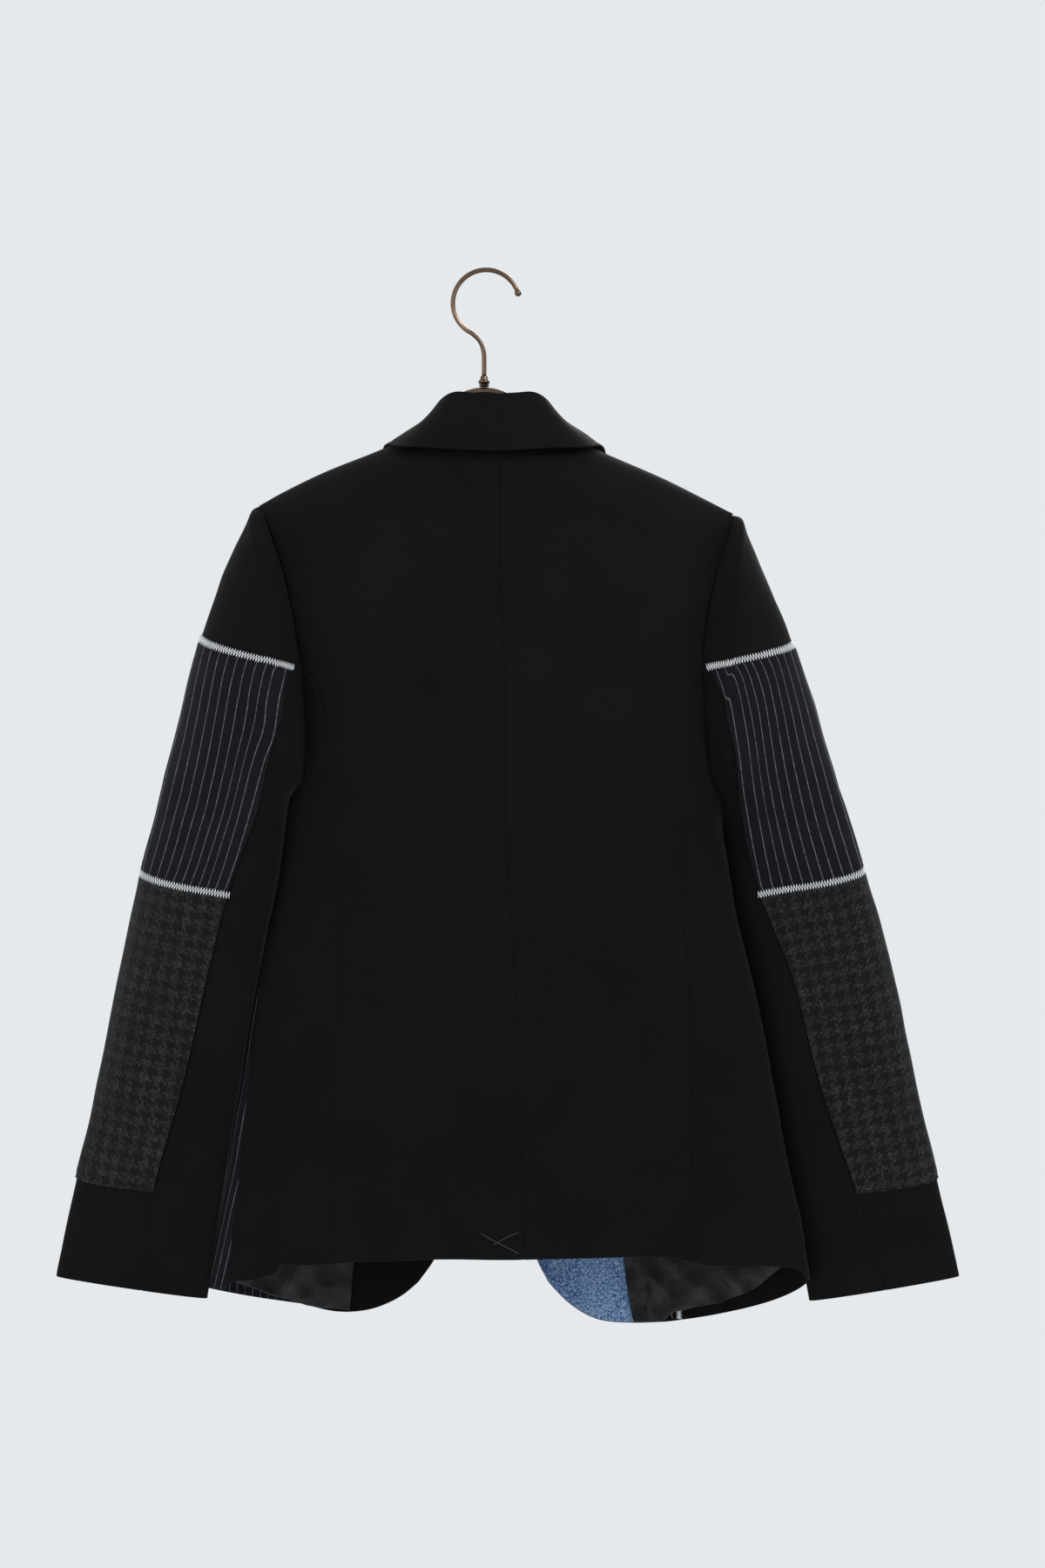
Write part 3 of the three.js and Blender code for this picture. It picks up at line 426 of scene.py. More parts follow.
def side_front_seam(side):
    bottom = float(read(FRONT_HEM, SIDE_FRONT[-1, column_of(side)], 1))
    z = low_heights(bottom, FRONT_SEAM_Z)
    a, z = seam(SIDE_FRONT, column_of(side), z, 1, side_angle(side))
    blend = ease((z - FRONT_BLEND_Z) / BLEND_RISE)
    return a * (1 - blend) + armhole_angle(side, z, 1) * blend, z


def armhole_rows(side, low, face):
    z = high_heights(low, TIP[side])
    return armhole_angle(side, z, face), z


def centre_back_seam():
    z = np.concatenate([low_heights(BACK_HEM_Z, BACK_BREAK_Z), high_heights(BACK_BREAK_Z, NAPE_Z)])
    return seam(CENTRE_BACK, 1, z, -1, 1.5 * math.pi)


def side_seam(side):
    z = low_heights(SIDE_HEM_Z[side], UNDERARM_Z)
    return side_angle(side) + SIDE_TURN[side] * np.sin((1 - LOW) * math.pi / 2), z


def front_edge(side):
    low = low_heights(FRONT_CORNER_Z, FRONT_BREAK_Z)
    z = np.concatenate([low, high_heights(FRONT_BREAK_Z, NECK_CORNER_Z)])
    return seam(FRONT_EDGE, column_of(side), z, 1, front_angle(side))


def shoulder_or_neck(x):
    neck = (x > NECK_LEFT) & (x < NECK_RIGHT)
    return np.where(neck, read(NECKLINE, x, 1), read(SHOULDER, x, 1))


ROW_UNITS = np.concatenate([LOW * LOW_ROWS, LOW_ROWS + HIGH * HIGH_ROWS])


# Grid between two seams. bottom and top give the height of its edges, which fade into the grid.
def body_grid(start, end, across, bottom=None, top=None, reach=4.0):
    (a0, z0), (a1, z1) = start, end
    angle = mix(a0[:, None], a1[:, None], across[None, :])
    z = mix(z0[:, None], z1[:, None], across[None, :])
    inner = (across > 0) & (across < 1)
    fades = ROW_UNITS / reach, (ROW_UNITS[-1] - ROW_UNITS) / (reach + 3)
    for row, line, fade in zip((0, -1), (bottom, top), fades):
        if line is not None:
            level = mix(z0[row], z1[row], across)
            x = body_point(mix(a0[row], a1[row], across), level)[:, 0]
            z = z + (inner * (line(x) - level))[None, :] * ease(1 - fade)[:, None]
    return angle, z


# Soft relief of the cloth, by place on the coat
RNG = np.random.default_rng(7)
WAVES = []
for _ in range(16):
    length = RNG.uniform(26, 95)
    direction = RNG.normal(size=3)
    direction /= np.linalg.norm(direction)
    WAVES.append((direction * 2 * math.pi / length, RNG.uniform(0, 6.28), length / 95))


# Small uneven waves all over the cloth
def ripple(p):
    total = 0
    for k, phase, strength in WAVES:
        total = total + strength * np.sin(p @ k + phase)
    return total / 4.0


# Ridge or, with a negative height, a dip along a line, which fades out at both ends
def fold(x, z, line, width, height, ends=0.18):
    line = np.array(line, float)
    best = np.full(np.shape(x), 1e9)
    along = np.zeros(np.shape(x))
    spans = np.linalg.norm(np.diff(line, axis=0), axis=1)
    done = 0.0
    for a, b, span in zip(line[:-1], line[1:], spans):
        d = (b - a) / span
        t = np.clip((x - a[0]) * d[0] + (z - a[1]) * d[1], 0, span)
        away = np.hypot(x - (a[0] + d[0] * t), z - (a[1] + d[1] * t))
        near = away < best
        best = np.where(near, away, best)
        along = np.where(near, (done + t) / spans.sum(), along)
        done += span
    taper = ease(along / ends) * ease((1 - along) / ends)
    return height * taper * np.exp(-((best / width) ** 2))


# line as x and height pairs, width, height
BACK_FOLDS = [
    ([(-43, -446), (0, -450), (50, -452), (84, -447)], 7, -1.5),
    ([(-40, -440), (20, -443), (80, -440)], 13, 1.0),
    ([(84, -447), (130, -442), (168, -446)], 7, -0.7),
    ([(-123, -593), (-134, -640), (-141, -677), (-159, -720), (-166, -787)], 10, -3.4),
    ([(-108, -600), (-118, -660), (-140, -730), (-150, -787)], 12, 1.8),
    ([(-176, -690), (-186, -740), (-192, -800)], 10, 2.0),
    ([(142, -400), (144, -470), (152, -560), (160, -650), (166, -775)], 13, -2.6),
    ([(178, -500), (192, -590), (202, -690), (212, -790)], 16, 2.2),
    ([(126, -380), (126, -480), (132, -600), (138, -770)], 16, 1.6),
    ([(190, -519), (199, -506), (206, -500)], 2.2, -1.5),
    ([(-60, -175), (-52, -240), (-40, -300)], 22, -1.6),
    ([(60, -175), (66, -250), (84, -330)], 22, -1.4),
    ([(-120, -190), (-112, -260), (-104, -330)], 18, -1.2),
    ([(-142, -250), (-128, -280), (-112, -300)], 9, 0.9),
    ([(166, -250), (148, -282), (130, -300)], 9, 0.9),
    ([(-30, -560), (-26, -660), (-20, -770)], 30, 1.8),
    ([(74, -580), (80, -680), (86, -770)], 26, -1.6),
    ([(-70, -620), (-76, -700), (-84, -775)], 22, -1.4),
    ([(-140, -330), (-146, -370), (-150, -400)], 7, -1.0),
    ([(172, -320), (176, -370), (180, -400)], 7, -1.0),
]
FRONT_FOLDS = [
    ([(-120, -360), (-60, -430), (-8, -500)], 9, 1.5),
    ([(-118, -420), (-60, -470), (0, -508)], 8, -1.2),
    ([(130, -360), (70, -430), (14, -500)], 9, 1.5),
    ([(128, -425), (70, -475), (10, -510)], 8, -1.2),
    ([(-60, -560), (-74, -660), (-84, -815)], 18, 2.0),
    ([(-110, -540), (-118, -640), (-128, -815)], 14, -1.8),
    ([(70, -560), (92, -670), (104, -820)], 18, 2.0),
    ([(124, -560), (136, -660), (146, -820)], 13, -1.8),
    ([(-176, -600), (-186, -700), (-196, -800)], 12, 1.8),
    ([(188, -600), (204, -700), (222, -800)], 12, 1.8),
    ([(-150, -200), (-124, -250), (-112, -320)], 14, -1.4),
    ([(168, -210), (142, -256), (126, -320)], 14, -1.4),
]


# Distance of each point from the nearer armhole
def armhole_distance(p):
    flat = p.reshape(-1, 3)
    best = np.full(len(flat), 1e9)
    for side in ("left", "right"):
        z = np.linspace(UNDERARM_Z, TIP[side], 60)
        for face in (-1, 1):
            for q in body_point(armhole_angle(side, z, face), z):
                best = np.minimum(best, np.linalg.norm(flat - q, axis=1))
    return best.reshape(p.shape[:-1])


def body_relief(angle, z):
    p = body_point(angle, z)
    x, y = p[..., 0], p[..., 1]
    back = ease((4 - y) / 30)
    total = 0.55 * ripple(p)
    hang = ease((-560 - z) / 240)
    total = total + hang * 1.5 * np.sin(x / 13.5 + z / 140 + 0.6 * np.sin(x / 41))
    total = total + sum(fold(x, z, *row) for row in BACK_FOLDS) * back
    total = total + sum(fold(x, z, *row) for row in FRONT_FOLDS) * (1 - back)
    hole = armhole_distance(p)
    calm = ease(hole / 14)
    top = ease((read(SHOULDER, x, 1) - z) / 22)
    neck = ease((-140 - z) / 22)
    keep = np.where(np.abs(x - NECK_X) < 70, np.maximum(neck, 0), 1)
    # fullness of the cloth just under each arm
    arm = UNDERARM_FULL * np.exp(-(((z + 413) / 14) ** 2) - (y / 17) ** 2) * ease(hole / 7)
    hem = 3.4 * ease((-745 - z) / 60) * ease((-170 - x) / 40)
    return total * calm * top * keep + arm + hem


# Line where two cloths are sewn together: a narrow dip beside it, with small puckers
def seam_dip(across_mm, along_mm, seed=0.0):
    dip = -0.55 * np.exp(-((across_mm / 1.3) ** 2))
    swell = 0.18 * np.exp(-(((across_mm - 4.5) / 2.4) ** 2))
    tug = 0.22 * np.exp(-across_mm / 9) * np.sin(along_mm / 2.4 + 1.3 * np.sin(along_mm / 9.7 + seed) + seed)
    return dip + swell + tug


def link(obj):
    scene.collection.objects.link(obj)
    return obj


def from_arrays(name, points, faces, uv=None, sharp=50):
    mesh = bpy.data.meshes.new(name)
    mesh.from_pydata((np.asarray(points) * MM).tolist(), [], faces)
    if uv is not None:
        layer = mesh.uv_layers.new(name="cloth")
        loops = np.empty(len(mesh.loops), np.int64)
        mesh.loops.foreach_get("vertex_index", loops)
        layer.data.foreach_set("uv", np.asarray(uv)[loops].astype(np.float32).ravel())
    mesh.update()
    mesh.validate()
    mesh.polygons.foreach_set("use_smooth", [True] * len(mesh.polygons))
    mesh.set_sharp_from_angle(angle=math.radians(sharp))
    return link(bpy.data.objects.new(name, mesh))


# Closed cloth from a grid of outer points, with a rounded rim
def cloth(name, outer, normals, thickness, place=None):
    rows, columns = outer.shape[:2]
    count = rows * columns
    inner = outer - normals * thickness
    across, down = lengths(outer, 1), lengths(outer, 0)
    if place is None:
        place = across - across[:, [columns // 2]], down
    uv = np.stack(place, -1).reshape(-1, 2)
    a = (np.arange(rows - 1)[:, None] * columns + np.arange(columns - 1)).ravel()
    quads = np.stack([a, a + 1, a + columns + 1, a + columns], -1)
    area = np.cross(outer[:-1, 1:] - outer[:-1, :-1], outer[1:, :-1] - outer[:-1, :-1])
    turned = (area * normals[:-1, :-1]).sum(-1).mean() < 0
    if turned:
        quads = quads[:, ::-1]
    faces = quads.tolist() + (quads[:, ::-1] + count).tolist()
    rim = [(0, k) for k in range(columns - 1)]
    rim += [(k, columns - 1) for k in range(rows - 1)]
    rim += [(rows - 1, k) for k in range(columns - 1, 0, -1)]
    rim += [(k, 0) for k in range(rows - 1, 0, -1)]
    row, col = np.array(rim).T
    edge = outer[row, col]
    tangent = np.roll(edge, -1, axis=0) - np.roll(edge, 1, axis=0)
    side = unit(np.cross(tangent, normals[row, col]))
    inward = outer[np.clip(row, 1, rows - 2), np.clip(col, 1, columns - 2)] - edge
    flip = np.where((side * inward).sum(1) < 0, -1, 1)
    middle = (edge + inner[row, col]) / 2 - side * flip[:, None] * thickness * 0.3
    ids = row * columns + col
    for k in range(len(ids)):
        k1 = (k + 1) % len(ids)
        a, b = int(ids[k]), int(ids[k1])
        m, m1 = 2 * count + k, 2 * count + k1
        for face in ([b, a, m, m1], [m1, m, a + count, b + count]):
            faces.append(face[::-1] if turned else face)
    points = np.concatenate([outer.reshape(-1, 3), inner.reshape(-1, 3), middle])
    obj = from_arrays(name, points, faces, np.concatenate([uv, uv, uv[ids]]), 55)
    flat = float(across[:, -1].max()) * MM, float(down[-1].max()) * MM
    return obj, float(np.linalg.norm(area, axis=2).sum()) * MM * MM, flat


def across_for(width, step=5.0):
    t = np.linspace(0, 1, max(int(width / step), 3) + 1)
    e = np.array([0.6, 1.4, 2.6, 4.5]) / width
    t = t[(t > e[-1] * 1.3) & (t < 1 - e[-1] * 1.3)]
    return np.concatenate([[0], e, t, 1 - e[::-1], [1]])


# The two outer columns drawn back a little, so that neighbours don't touch
def draw_back(p, gap):
    for edge, beside in ((0, 1), (-1, -2)):
        p[:, edge] += gap * unit(p[:, beside] - p[:, edge])


# Body panel with its relief. sewn says which of its two seams are sewn.
def body_cloth(name, angle, z, thickness, lift=None, sewn=(True, True), seed=0.0, upright=False):
    p = body_point(angle, z)
    n = body_normal(angle, z)
    out = body_relief(angle, z)
    if lift is not None:
        out = out + lift(p[..., 0], p[..., 2])
    u = lengths(p, 1)
    if sewn[0]:
        out = out + seam_dip(u, z, seed)
    if sewn[1]:
        out = out + seam_dip(u[:, -1:] - u, z, seed)
    p = p + n * out[..., None]
    draw_back(p, 0.12)
    return cloth(name, p, n, thickness, (u, -p[..., 2]) if upright else None)


# Lower edge set to a hem line, fading out upwards
def hem_to(angle, z, table, reach, units=None):
    units = LOW * LOW_ROWS if units is None else units
    x = body_point(angle[0], z[0])[:, 0]
    change = read(table, x, 1) - z[0]
    return angle, z + change[None, :] * ease(1 - units / reach)[:, None]


# Materials
def linear(r, g, b):
    parts = [c / 255 for c in (r, g, b)]
    return tuple(c / 12.92 if c <= 0.04045 else ((c + 0.055) / 1.055) ** 2.4 for c in parts) + (1.0,)


class Shade:
    """A material under construction: nodes are added by its methods, and values are sockets or numbers."""

    def __init__(self, name):
        self.material = bpy.data.materials.new(name)
        self.material.use_nodes = True
        self.tree = self.material.node_tree
        self.tree.nodes.clear()
        self.bsdf = self.node("BsdfPrincipled")
        self.tree.links.new(self.bsdf.outputs[0], self.node("OutputMaterial").inputs[0])

    def node(self, kind, **settings):
        node = self.tree.nodes.new("ShaderNode" + kind)
        for name, value in settings.items():
            setattr(node, name, value)
        return node

    def put(self, value, socket):
        if isinstance(value, (int, float, tuple)):
            socket.default_value = value
        else:
            self.tree.links.new(value, socket)

    def maths(self, operation, *values, clamp=False):
        node = self.node("Math", operation=operation, use_clamp=clamp)
        for value, socket in zip(values, node.inputs):
            self.put(value, socket)
        return node.outputs[0]

    def times(self, a, b):
        return self.maths("MULTIPLY", a, b)

    def times_plus(self, a, b, c, clamp=False):
        return self.maths("MULTIPLY_ADD", a, b, c, clamp=clamp)

    def sine(self, value, period):
        return self.maths("SINE", self.times_plus(value, 2 * math.pi / period, 0.0))

    # place on the object, and u and v along the cloth in millimetres
    def space(self):
        return self.node("TexCoord").outputs["Object"]

    def cloth(self):
        split = self.node("SeparateXYZ")
        self.put(self.node("UVMap", uv_map="cloth").outputs[0], split.inputs[0])
        return split.outputs[0], split.outputs[1]

    def noise(self, scale, detail, roughness, place=None):
        node = self.node("TexNoise")
        self.put(place or self.space(), node.inputs["Vector"])
        for name, value in (("Scale", scale), ("Detail", detail), ("Roughness", roughness)):
            self.put(float(value), node.inputs[name])
        return node.outputs["Fac"]

    def ramp(self, value, *stops):
        node = self.node("ValToRGB")
        elements = node.color_ramp.elements
        while len(elements) < len(stops):
            elements.new(0.5)
        for element, (position, colour) in zip(elements, stops):
            element.position = position
            element.color = linear(*colour)
        self.put(value, node.inputs[0])
        return node.outputs[0]

    def done(self, colour, height, strength, distance, **looks):
        bump = self.node("Bump")
        for name, value in (("Height", height), ("Strength", strength), ("Distance", distance)):
            self.put(value, bump.inputs[name])
        self.put(bump.outputs[0], self.bsdf.inputs["Normal"])
        self.put(colour, self.bsdf.inputs["Base Color"])
        for name, value in looks.items():
            self.put(value, self.bsdf.inputs[SOCKETS[name]])
        return self.material


SOCKETS = {
    "roughness": "Roughness", "specular": "Specular IOR Level", "sheen": "Sheen Weight",
    "sheen_roughness": "Sheen Roughness", "metallic": "Metallic", "coat": "Coat Weight",
}


# Fine suiting: a warp and weft that cross every half millimetre, with a faint uneven tone
def wool_material(name, dark, light):
    m = Shade(name)
    u, v = m.cloth()
    weave = m.times(m.sine(u, 0.9), m.sine(v, 0.9))
    slub = m.noise(900, 2, 0.7)
    tone = m.times_plus(slub, 0.55, m.times(m.noise(14, 3, 0.55), 0.45))
    colour = m.ramp(tone, (0.32, dark), (0.68, light))
    return m.done(
        colour, m.times_plus(weave, 0.35, slub), 0.35, 0.0003,
        roughness=0.84, specular=0.1, sheen=0.03, sheen_roughness=0.45,
    )


# Pinstripe: a dashed, uneven line every few millimetres on a dark twill
def pinstripe_material(name, spacing=6.6, half_line=0.042, dash_length=1.25, dash_share=0.68):
    m = Shade(name)
    u, v = m.cloth()
    shifted = m.times_plus(m.noise(40, 2, 0.5), 0.35, u)
    cell = m.maths("FRACT", m.times(shifted, 1 / spacing))
    line = m.maths("LESS_THAN", m.maths("ABSOLUTE", m.maths("SUBTRACT", cell, 0.5)), half_line)
    dashes = m.maths("LESS_THAN", m.maths("FRACT", m.times(v, 1 / dash_length)), dash_share)
    strength = m.times_plus(m.noise(300, 2, 0.6), 1.7, -0.25, clamp=True)
    mask = m.times(m.times(line, dashes), strength)
    slub = m.noise(1000, 2, 0.75)
    tone = m.times_plus(slub, 0.6, m.times(m.noise(25, 3, 0.6), 0.4))
    ground = m.ramp(tone, (0.34, (2, 2, 5)), (0.55, (7, 8, 15)), (0.72, (20, 21, 33)))
    both = m.node("Mix", data_type="RGBA")
    for socket, value in zip((0, 6, 7), (mask, ground, linear(128, 128, 138))):
        m.put(value, both.inputs[socket])
    twill = m.sine(m.maths("ADD", u, v), 0.85)
    height = m.times_plus(twill, 0.4, m.times_plus(mask, 0.8, slub))
    return m.done(
        both.outputs[2], height, 0.4, 0.0003,
        roughness=0.85, specular=0.18, sheen=0.04, sheen_roughness=0.45,
    )


# Houndstooth: four dark and four light threads each way in a two and two twill, felted and blurred
def houndstooth_material(name, thread=1.45, blur=5.0):
    m = Shade(name)
    u, v = m.cloth()
    other = m.node("VectorMath", operation="ADD")
    m.put(m.space(), other.inputs[0])
    m.put((3.1, 1.7, 5.3), other.inputs[1])
    threads = []
    for along, place in ((u, None), (v, other.outputs[0])):
        away = m.maths("SUBTRACT", m.noise(420, 2, 0.7, place), 0.5)
        threads.append(m.maths("FLOOR", m.times(m.times_plus(away, blur, along), 1 / thread)))
    iu, iv = threads
    warp, weft = (m.maths("LESS_THAN", m.maths("FLOORED_MODULO", k, 8), 3.5) for k in threads)
    over = m.maths("LESS_THAN", m.maths("FLOORED_MODULO", m.maths("SUBTRACT", iu, iv), 4), 1.5)
    check = m.maths("ADD", m.times(warp, over), m.times(weft, m.maths("SUBTRACT", 1.0, over)))
    tuft = m.noise(650, 3, 0.8)
    fleck = m.times_plus(tuft, 2.6, -0.95, clamp=True)
    tone = m.times_plus(check, 0.34, m.times_plus(fleck, 0.56, m.times(m.noise(40, 2, 0.5), 0.16)))
    colour = m.ramp(tone, (0.2, (1, 1, 1)), (0.42, (5, 6, 6)), (0.62, (18, 20, 20)), (0.85, (54, 56, 56)))
    return m.done(
        colour, m.times_plus(check, 0.4, tuft), 0.7, 0.0007,
        roughness=0.95, specular=0.14, sheen=0.08, sheen_roughness=0.6,
    )


def denim_material(name):
    m = Shade(name)
    u, v = m.cloth()
    twill = m.sine(m.times_plus(u, 1.6, v), 1.1)
    fleck = m.noise(620, 3, 0.8)
    tone = m.times_plus(twill, 0.07, m.times_plus(fleck, 0.88, m.times(m.noise(30, 3, 0.6), 0.12)))
    colour = m.ramp(tone, (0.4, (28, 62, 114)), (0.5, (66, 108, 162)), (0.6, (176, 200, 226)))
    return m.done(
        colour, m.times_plus(twill, 0.5, fleck), 0.5, 0.0004, roughness=0.88, specular=0.25, sheen=0.1,
    )


# Black satin lining. One noise gives both the bump of its crumples and a painted reflection in its colour.
def satin_material(name):
    m = Shade(name)
    crumple_and_painted_reflection = m.noise(75, 4, 0.55)
    # the darkest stop is the satin's own black; the lighter stops are painted highlight streaks on the
    # crumples
    colour = m.ramp(crumple_and_painted_reflection, (0.4, (2, 2, 3)), (0.5, (7, 7, 8)), (0.62, (28, 28, 31)))
    height = m.times_plus(m.sine(m.cloth()[1], 0.5), 0.02, crumple_and_painted_reflection)
    return m.done(colour, height, 0.6, 0.005, roughness=0.22, specular=0.28)


def thread_material(name, dark, light):
    m = Shade(name)
    strand = m.noise(1400, 2, 0.6)
    colour = m.ramp(strand, (0.3, dark), (0.7, light))
    return m.done(colour, strand, 0.4, 0.0002, roughness=0.6, sheen=0.2)


def metal_material(name):
    m = Shade(name)
    fine = m.noise(700, 2, 0.6)
    colour = m.ramp(m.noise(22, 2, 0.5), (0.3, (70, 56, 46)), (0.55, (104, 86, 72)), (0.75, (140, 118, 100)))
    return m.done(colour, fine, 0.06, 0.0002, roughness=m.times_plus(fine, 0.12, 0.2), metallic=1.0)


def horn_material(name):
    m = Shade(name)
    grain = m.noise(160, 5, 0.65)
    colour = m.ramp(grain, (0.35, (14, 12, 11)), (0.55, (38, 31, 26)), (0.75, (70, 57, 46)))
    return m.done(colour, grain, 0.08, 0.0003, roughness=0.32, coat=0.25)


SUIT = wool_material("suiting", (4, 4, 4.5), (12, 12, 13))
PIN = pinstripe_material("pinstripe")
HOUND = houndstooth_material("houndstooth")
DENIM = denim_material("denim")
SATIN = satin_material("satin")
WHITE = thread_material("white_thread", (198, 200, 206), (244, 245, 248))
NAVY = thread_material("navy_thread", (10, 11, 18), (24, 26, 36))
BLACK = thread_material("black_thread", (12, 12, 13), (34, 34, 36))
TAN = thread_material("tan_thread", (120, 92, 60), (170, 138, 98))
BRONZE = metal_material("bronze")
HORN = horn_material("horn")


def finish_piece(obj, material, slot=None, *nodes):
    obj.data.materials.append(material)
    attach(obj, "root")
    if nodes:
        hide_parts(*nodes)


def sew(made, material, slot, *nodes, held="hung", rests_on=("hanger_bar",)):
    obj, area, (width, length) = made
    finish_piece(obj, material, slot, *nodes)


# Body of the coat
# The right front lies over the left one, so it is lifted near its edge
def right_lift(x, z):
    return OVERLAP_LIFT * ease((88 - x) / 60) * ease((z + 830) / 60) * ease((-200 - z) / 160)


def front_hem(x):
    return read(FRONT_HEM, x, 1)


def shoulder_height(x):
    return read(SHOULDER, x, 1)


# Panel under the arm, from its seam to the side seam, with its top bent along the armhole
def under_panel(side, face, across):
    a0, z0 = side_back_seam(side) if face < 0 else side_front_seam(side)
    a1, z1 = side_seam(side)
    top = mix(BACK_SEAM_Z if face < 0 else FRONT_SEAM_Z, UNDERARM_Z, np.sin(across * math.pi / 2) ** 1.4)
    bend = armhole_angle(side, top, face) - mix(a0[-1], a1[-1], across)
    rise = top - mix(z0[-1], z1[-1], across)
    weight = ease((LOW[:, None] - 0.35) / 0.65) * ((across > 0) & (across < 1))[None, :]
    angle = mix(a0[:, None], a1[:, None], across[None, :]) + bend[None, :] * weight
    return angle, mix(z0[:, None], z1[:, None], across[None, :]) + rise[None, :] * weight


for side in ("left", "right"):
    seed = 1.0 if side == "left" else 2.7
    outer = joined(side_back_seam(side), armhole_rows(side, BACK_SEAM_Z, -1))
    angle, z = body_grid(outer, centre_back_seam(), across_for(170), top=shoulder_or_neck)
    angle, z = hem_to(angle, z, BACK_HEM, 1.4, ROW_UNITS)
    sew(body_cloth(f"cloth_back_{side}", angle, z, SUITING, seed=seed), SUIT, "suiting", f"back_{side}")

    angle, z = under_panel(side, -1, across_for(110, 2.5))
    angle, z = hem_to(angle, z, BACK_HEM, 1.4)
    sew(body_cloth(f"cloth_side_{side}", angle, z, SUITING, seed=seed + 1), SUIT, "suiting", f"side_{side}")

    angle, z = under_panel(side, 1, across_for(100))
    material, slot = (PIN, "pinstripe") if side == "left" else (SUIT, "suiting")
    across = (angle[0] - angle[0, 0]) / (angle[0, -1] - angle[0, 0])
    change = mix(z[0, 0], z[0, -1], np.interp(across, *SIDE_HEM[side])) - z[0]
    z = z + change[None, :] * ease(1 - LOW * LOW_ROWS / 1.4)[:, None]
    made = body_cloth(f"cloth_front_side_{side}", angle, z, SUITING, seed=seed + 2, upright=True)
    sew(made, material, slot, f"front_side_{side}")

    outer = joined(side_front_seam(side), armhole_rows(side, FRONT_SEAM_Z, 1))
    lift = right_lift if side == "right" else None
    angle, z = body_grid(outer, front_edge(side), across_for(150), front_hem, shoulder_height, reach=3)
    made = body_cloth(f"cloth_front_{side}", angle, z, SUITING, lift=lift, sewn=(True, False), seed=seed + 3)
    sew(made, SUIT, "suiting", f"front_{side}")


# Facing or lining inside a front. A facing starts at the front's edge, rise above its hem.
def inside_panel(name, side, outer_table, across, thickness, top_z, rise=None):
    from_edge = rise is not None
    near = front_angle(side)
    col = column_of(side)
    z = mix(INSIDE_HEM_Z, top_z, LOW)
    edge_table = FRONT_EDGE if from_edge else FACING_LINE
    a0 = angle_at(read(edge_table, z, col), z, 1, near)
    a1 = angle_at(read(outer_table, z, col), z, 1, near)
    angle = mix(a0[:, None], a1[:, None], across[None, :])
    zz = z[:, None] + 0 * angle
    x = body_point(angle[0], zz[0])[:, 0]
    target = front_hem(x) + rise if from_edge else read(LINING_EDGE, x, 1)
    zz = zz + (target - zz[0])[None, :] * ease(1 - LOW * LOW_ROWS / 2)[:, None]
    inwards = -(SUITING + LAY_GAP + (FACING_EASE if from_edge else LINING_EASE))

    def lift(x, h):
        base = inwards + (right_lift(x, h) if side == "right" else 0)
        if from_edge:
            return base
        low = ease((-640 - h) / 150)
        waves = 1.5 * np.sin(x / 6.2 + h / 7.5 + 1.6 * np.sin(h / 13 + x / 31))
        waves = waves + 1.2 * np.sin(x / 9.3 - h / 5.1 + 1.3 * np.sin(x / 12.5))
        waves = waves + 0.5 * np.sin(x / 3.6 + h / 4.3)
        pleat = 3.0 * np.exp(-(((x - 127 - (h + 806) * 0.12) / 3.6) ** 2))
        return base - low * (2.6 + waves - pleat)
    return body_cloth(name, angle, zz, thickness, lift=lift, sewn=(False, False))


for side, rise, material, slot in (("left", 0.9, SUIT, "suiting"), ("right", 1.0, DENIM, "denim")):
    across = across_for(90)
    made = inside_panel(f"cloth_facing_{side}", side, FACING_LINE, across, FACING_CLOTH, FACING_TOP_Z, rise)
    sew(made, material, slot, f"facing_{side}")
for side in ("left", "right"):
    across = across_for(100, 1.6)
    made = inside_panel(f"cloth_lining_{side}", side, LINING_SIDE, across, LINING, LINING_TOP_Z)
    sew(made, SATIN, "satin", f"lining_{side}")

# Vent underlay
heights = np.linspace(VENT_HEM_Z, VENT_TOP_Z, 24)
near = 1.5 * math.pi
start = angle_at(read(CENTRE_BACK, heights, 1) - VENT_WIDTH, heights, -1, near)
end = angle_at(read(CENTRE_BACK, heights, 1), heights, -1, near)
across = across_for(31)
made = body_cloth(
    "cloth_vent_underlay", mix(start[:, None], end[:, None], across[None, :]),
    heights[:, None] + 0 * across[None, :], SUITING,
    lift=lambda x, z: -(SUITING + LAY_GAP) + 0 * x, sewn=(False, False),
)
sew(made, SUIT, "suiting", "back_vent_underlay")


# Lapels
def lapel(side):
    z = np.linspace(*LAPEL_Z, 70)
    near = front_angle(side)
    col = column_of(side)
    roll = read(FRONT_EDGE, z, col) + sign_of(side)
    edge = read(FRONT_EDGE, z, col) + sign_of(side) * read(LAPEL, z, 1)
    a0 = angle_at(roll, z, 1, near)
    a1 = angle_at(edge, z, 1, near)
    across = across_for(60)
    base = LAY_GAP + 0.5 + SUITING

    def lift(x, h):
        extra = right_lift(x, h) if side == "right" else 0
        roll_x = read(FRONT_EDGE, h, col)
        soft = 2.4 * np.exp(-np.abs(x - roll_x) / 9)
        return base + extra + soft
    angle = mix(a0[:, None], a1[:, None], across[None, :])
    z = z[:, None] + 0 * angle
    return body_cloth(f"cloth_lapel_{side}", angle, z, SUITING, lift=lift, sewn=(False, False))


for side in ("left", "right"):
    sew(lapel(side), SUIT, "suiting", f"lapel_{side}", rests_on=(f"cloth_front_{side}",))


# Sleeves
def column_angle(j, elbow, front):
    e = elbow * j / ELBOW
    i = mix(elbow, 180, (j - ELBOW) / UNDER_COLUMNS)
    f = mix(180, front, (j - INNER) / UNDER_COLUMNS)
    o = mix(front, 360, (j - FRONT) / (AROUND - FRONT))
    return np.where(j <= ELBOW, e, np.where(j <= INNER, i, np.where(j <= FRONT, f, o)))


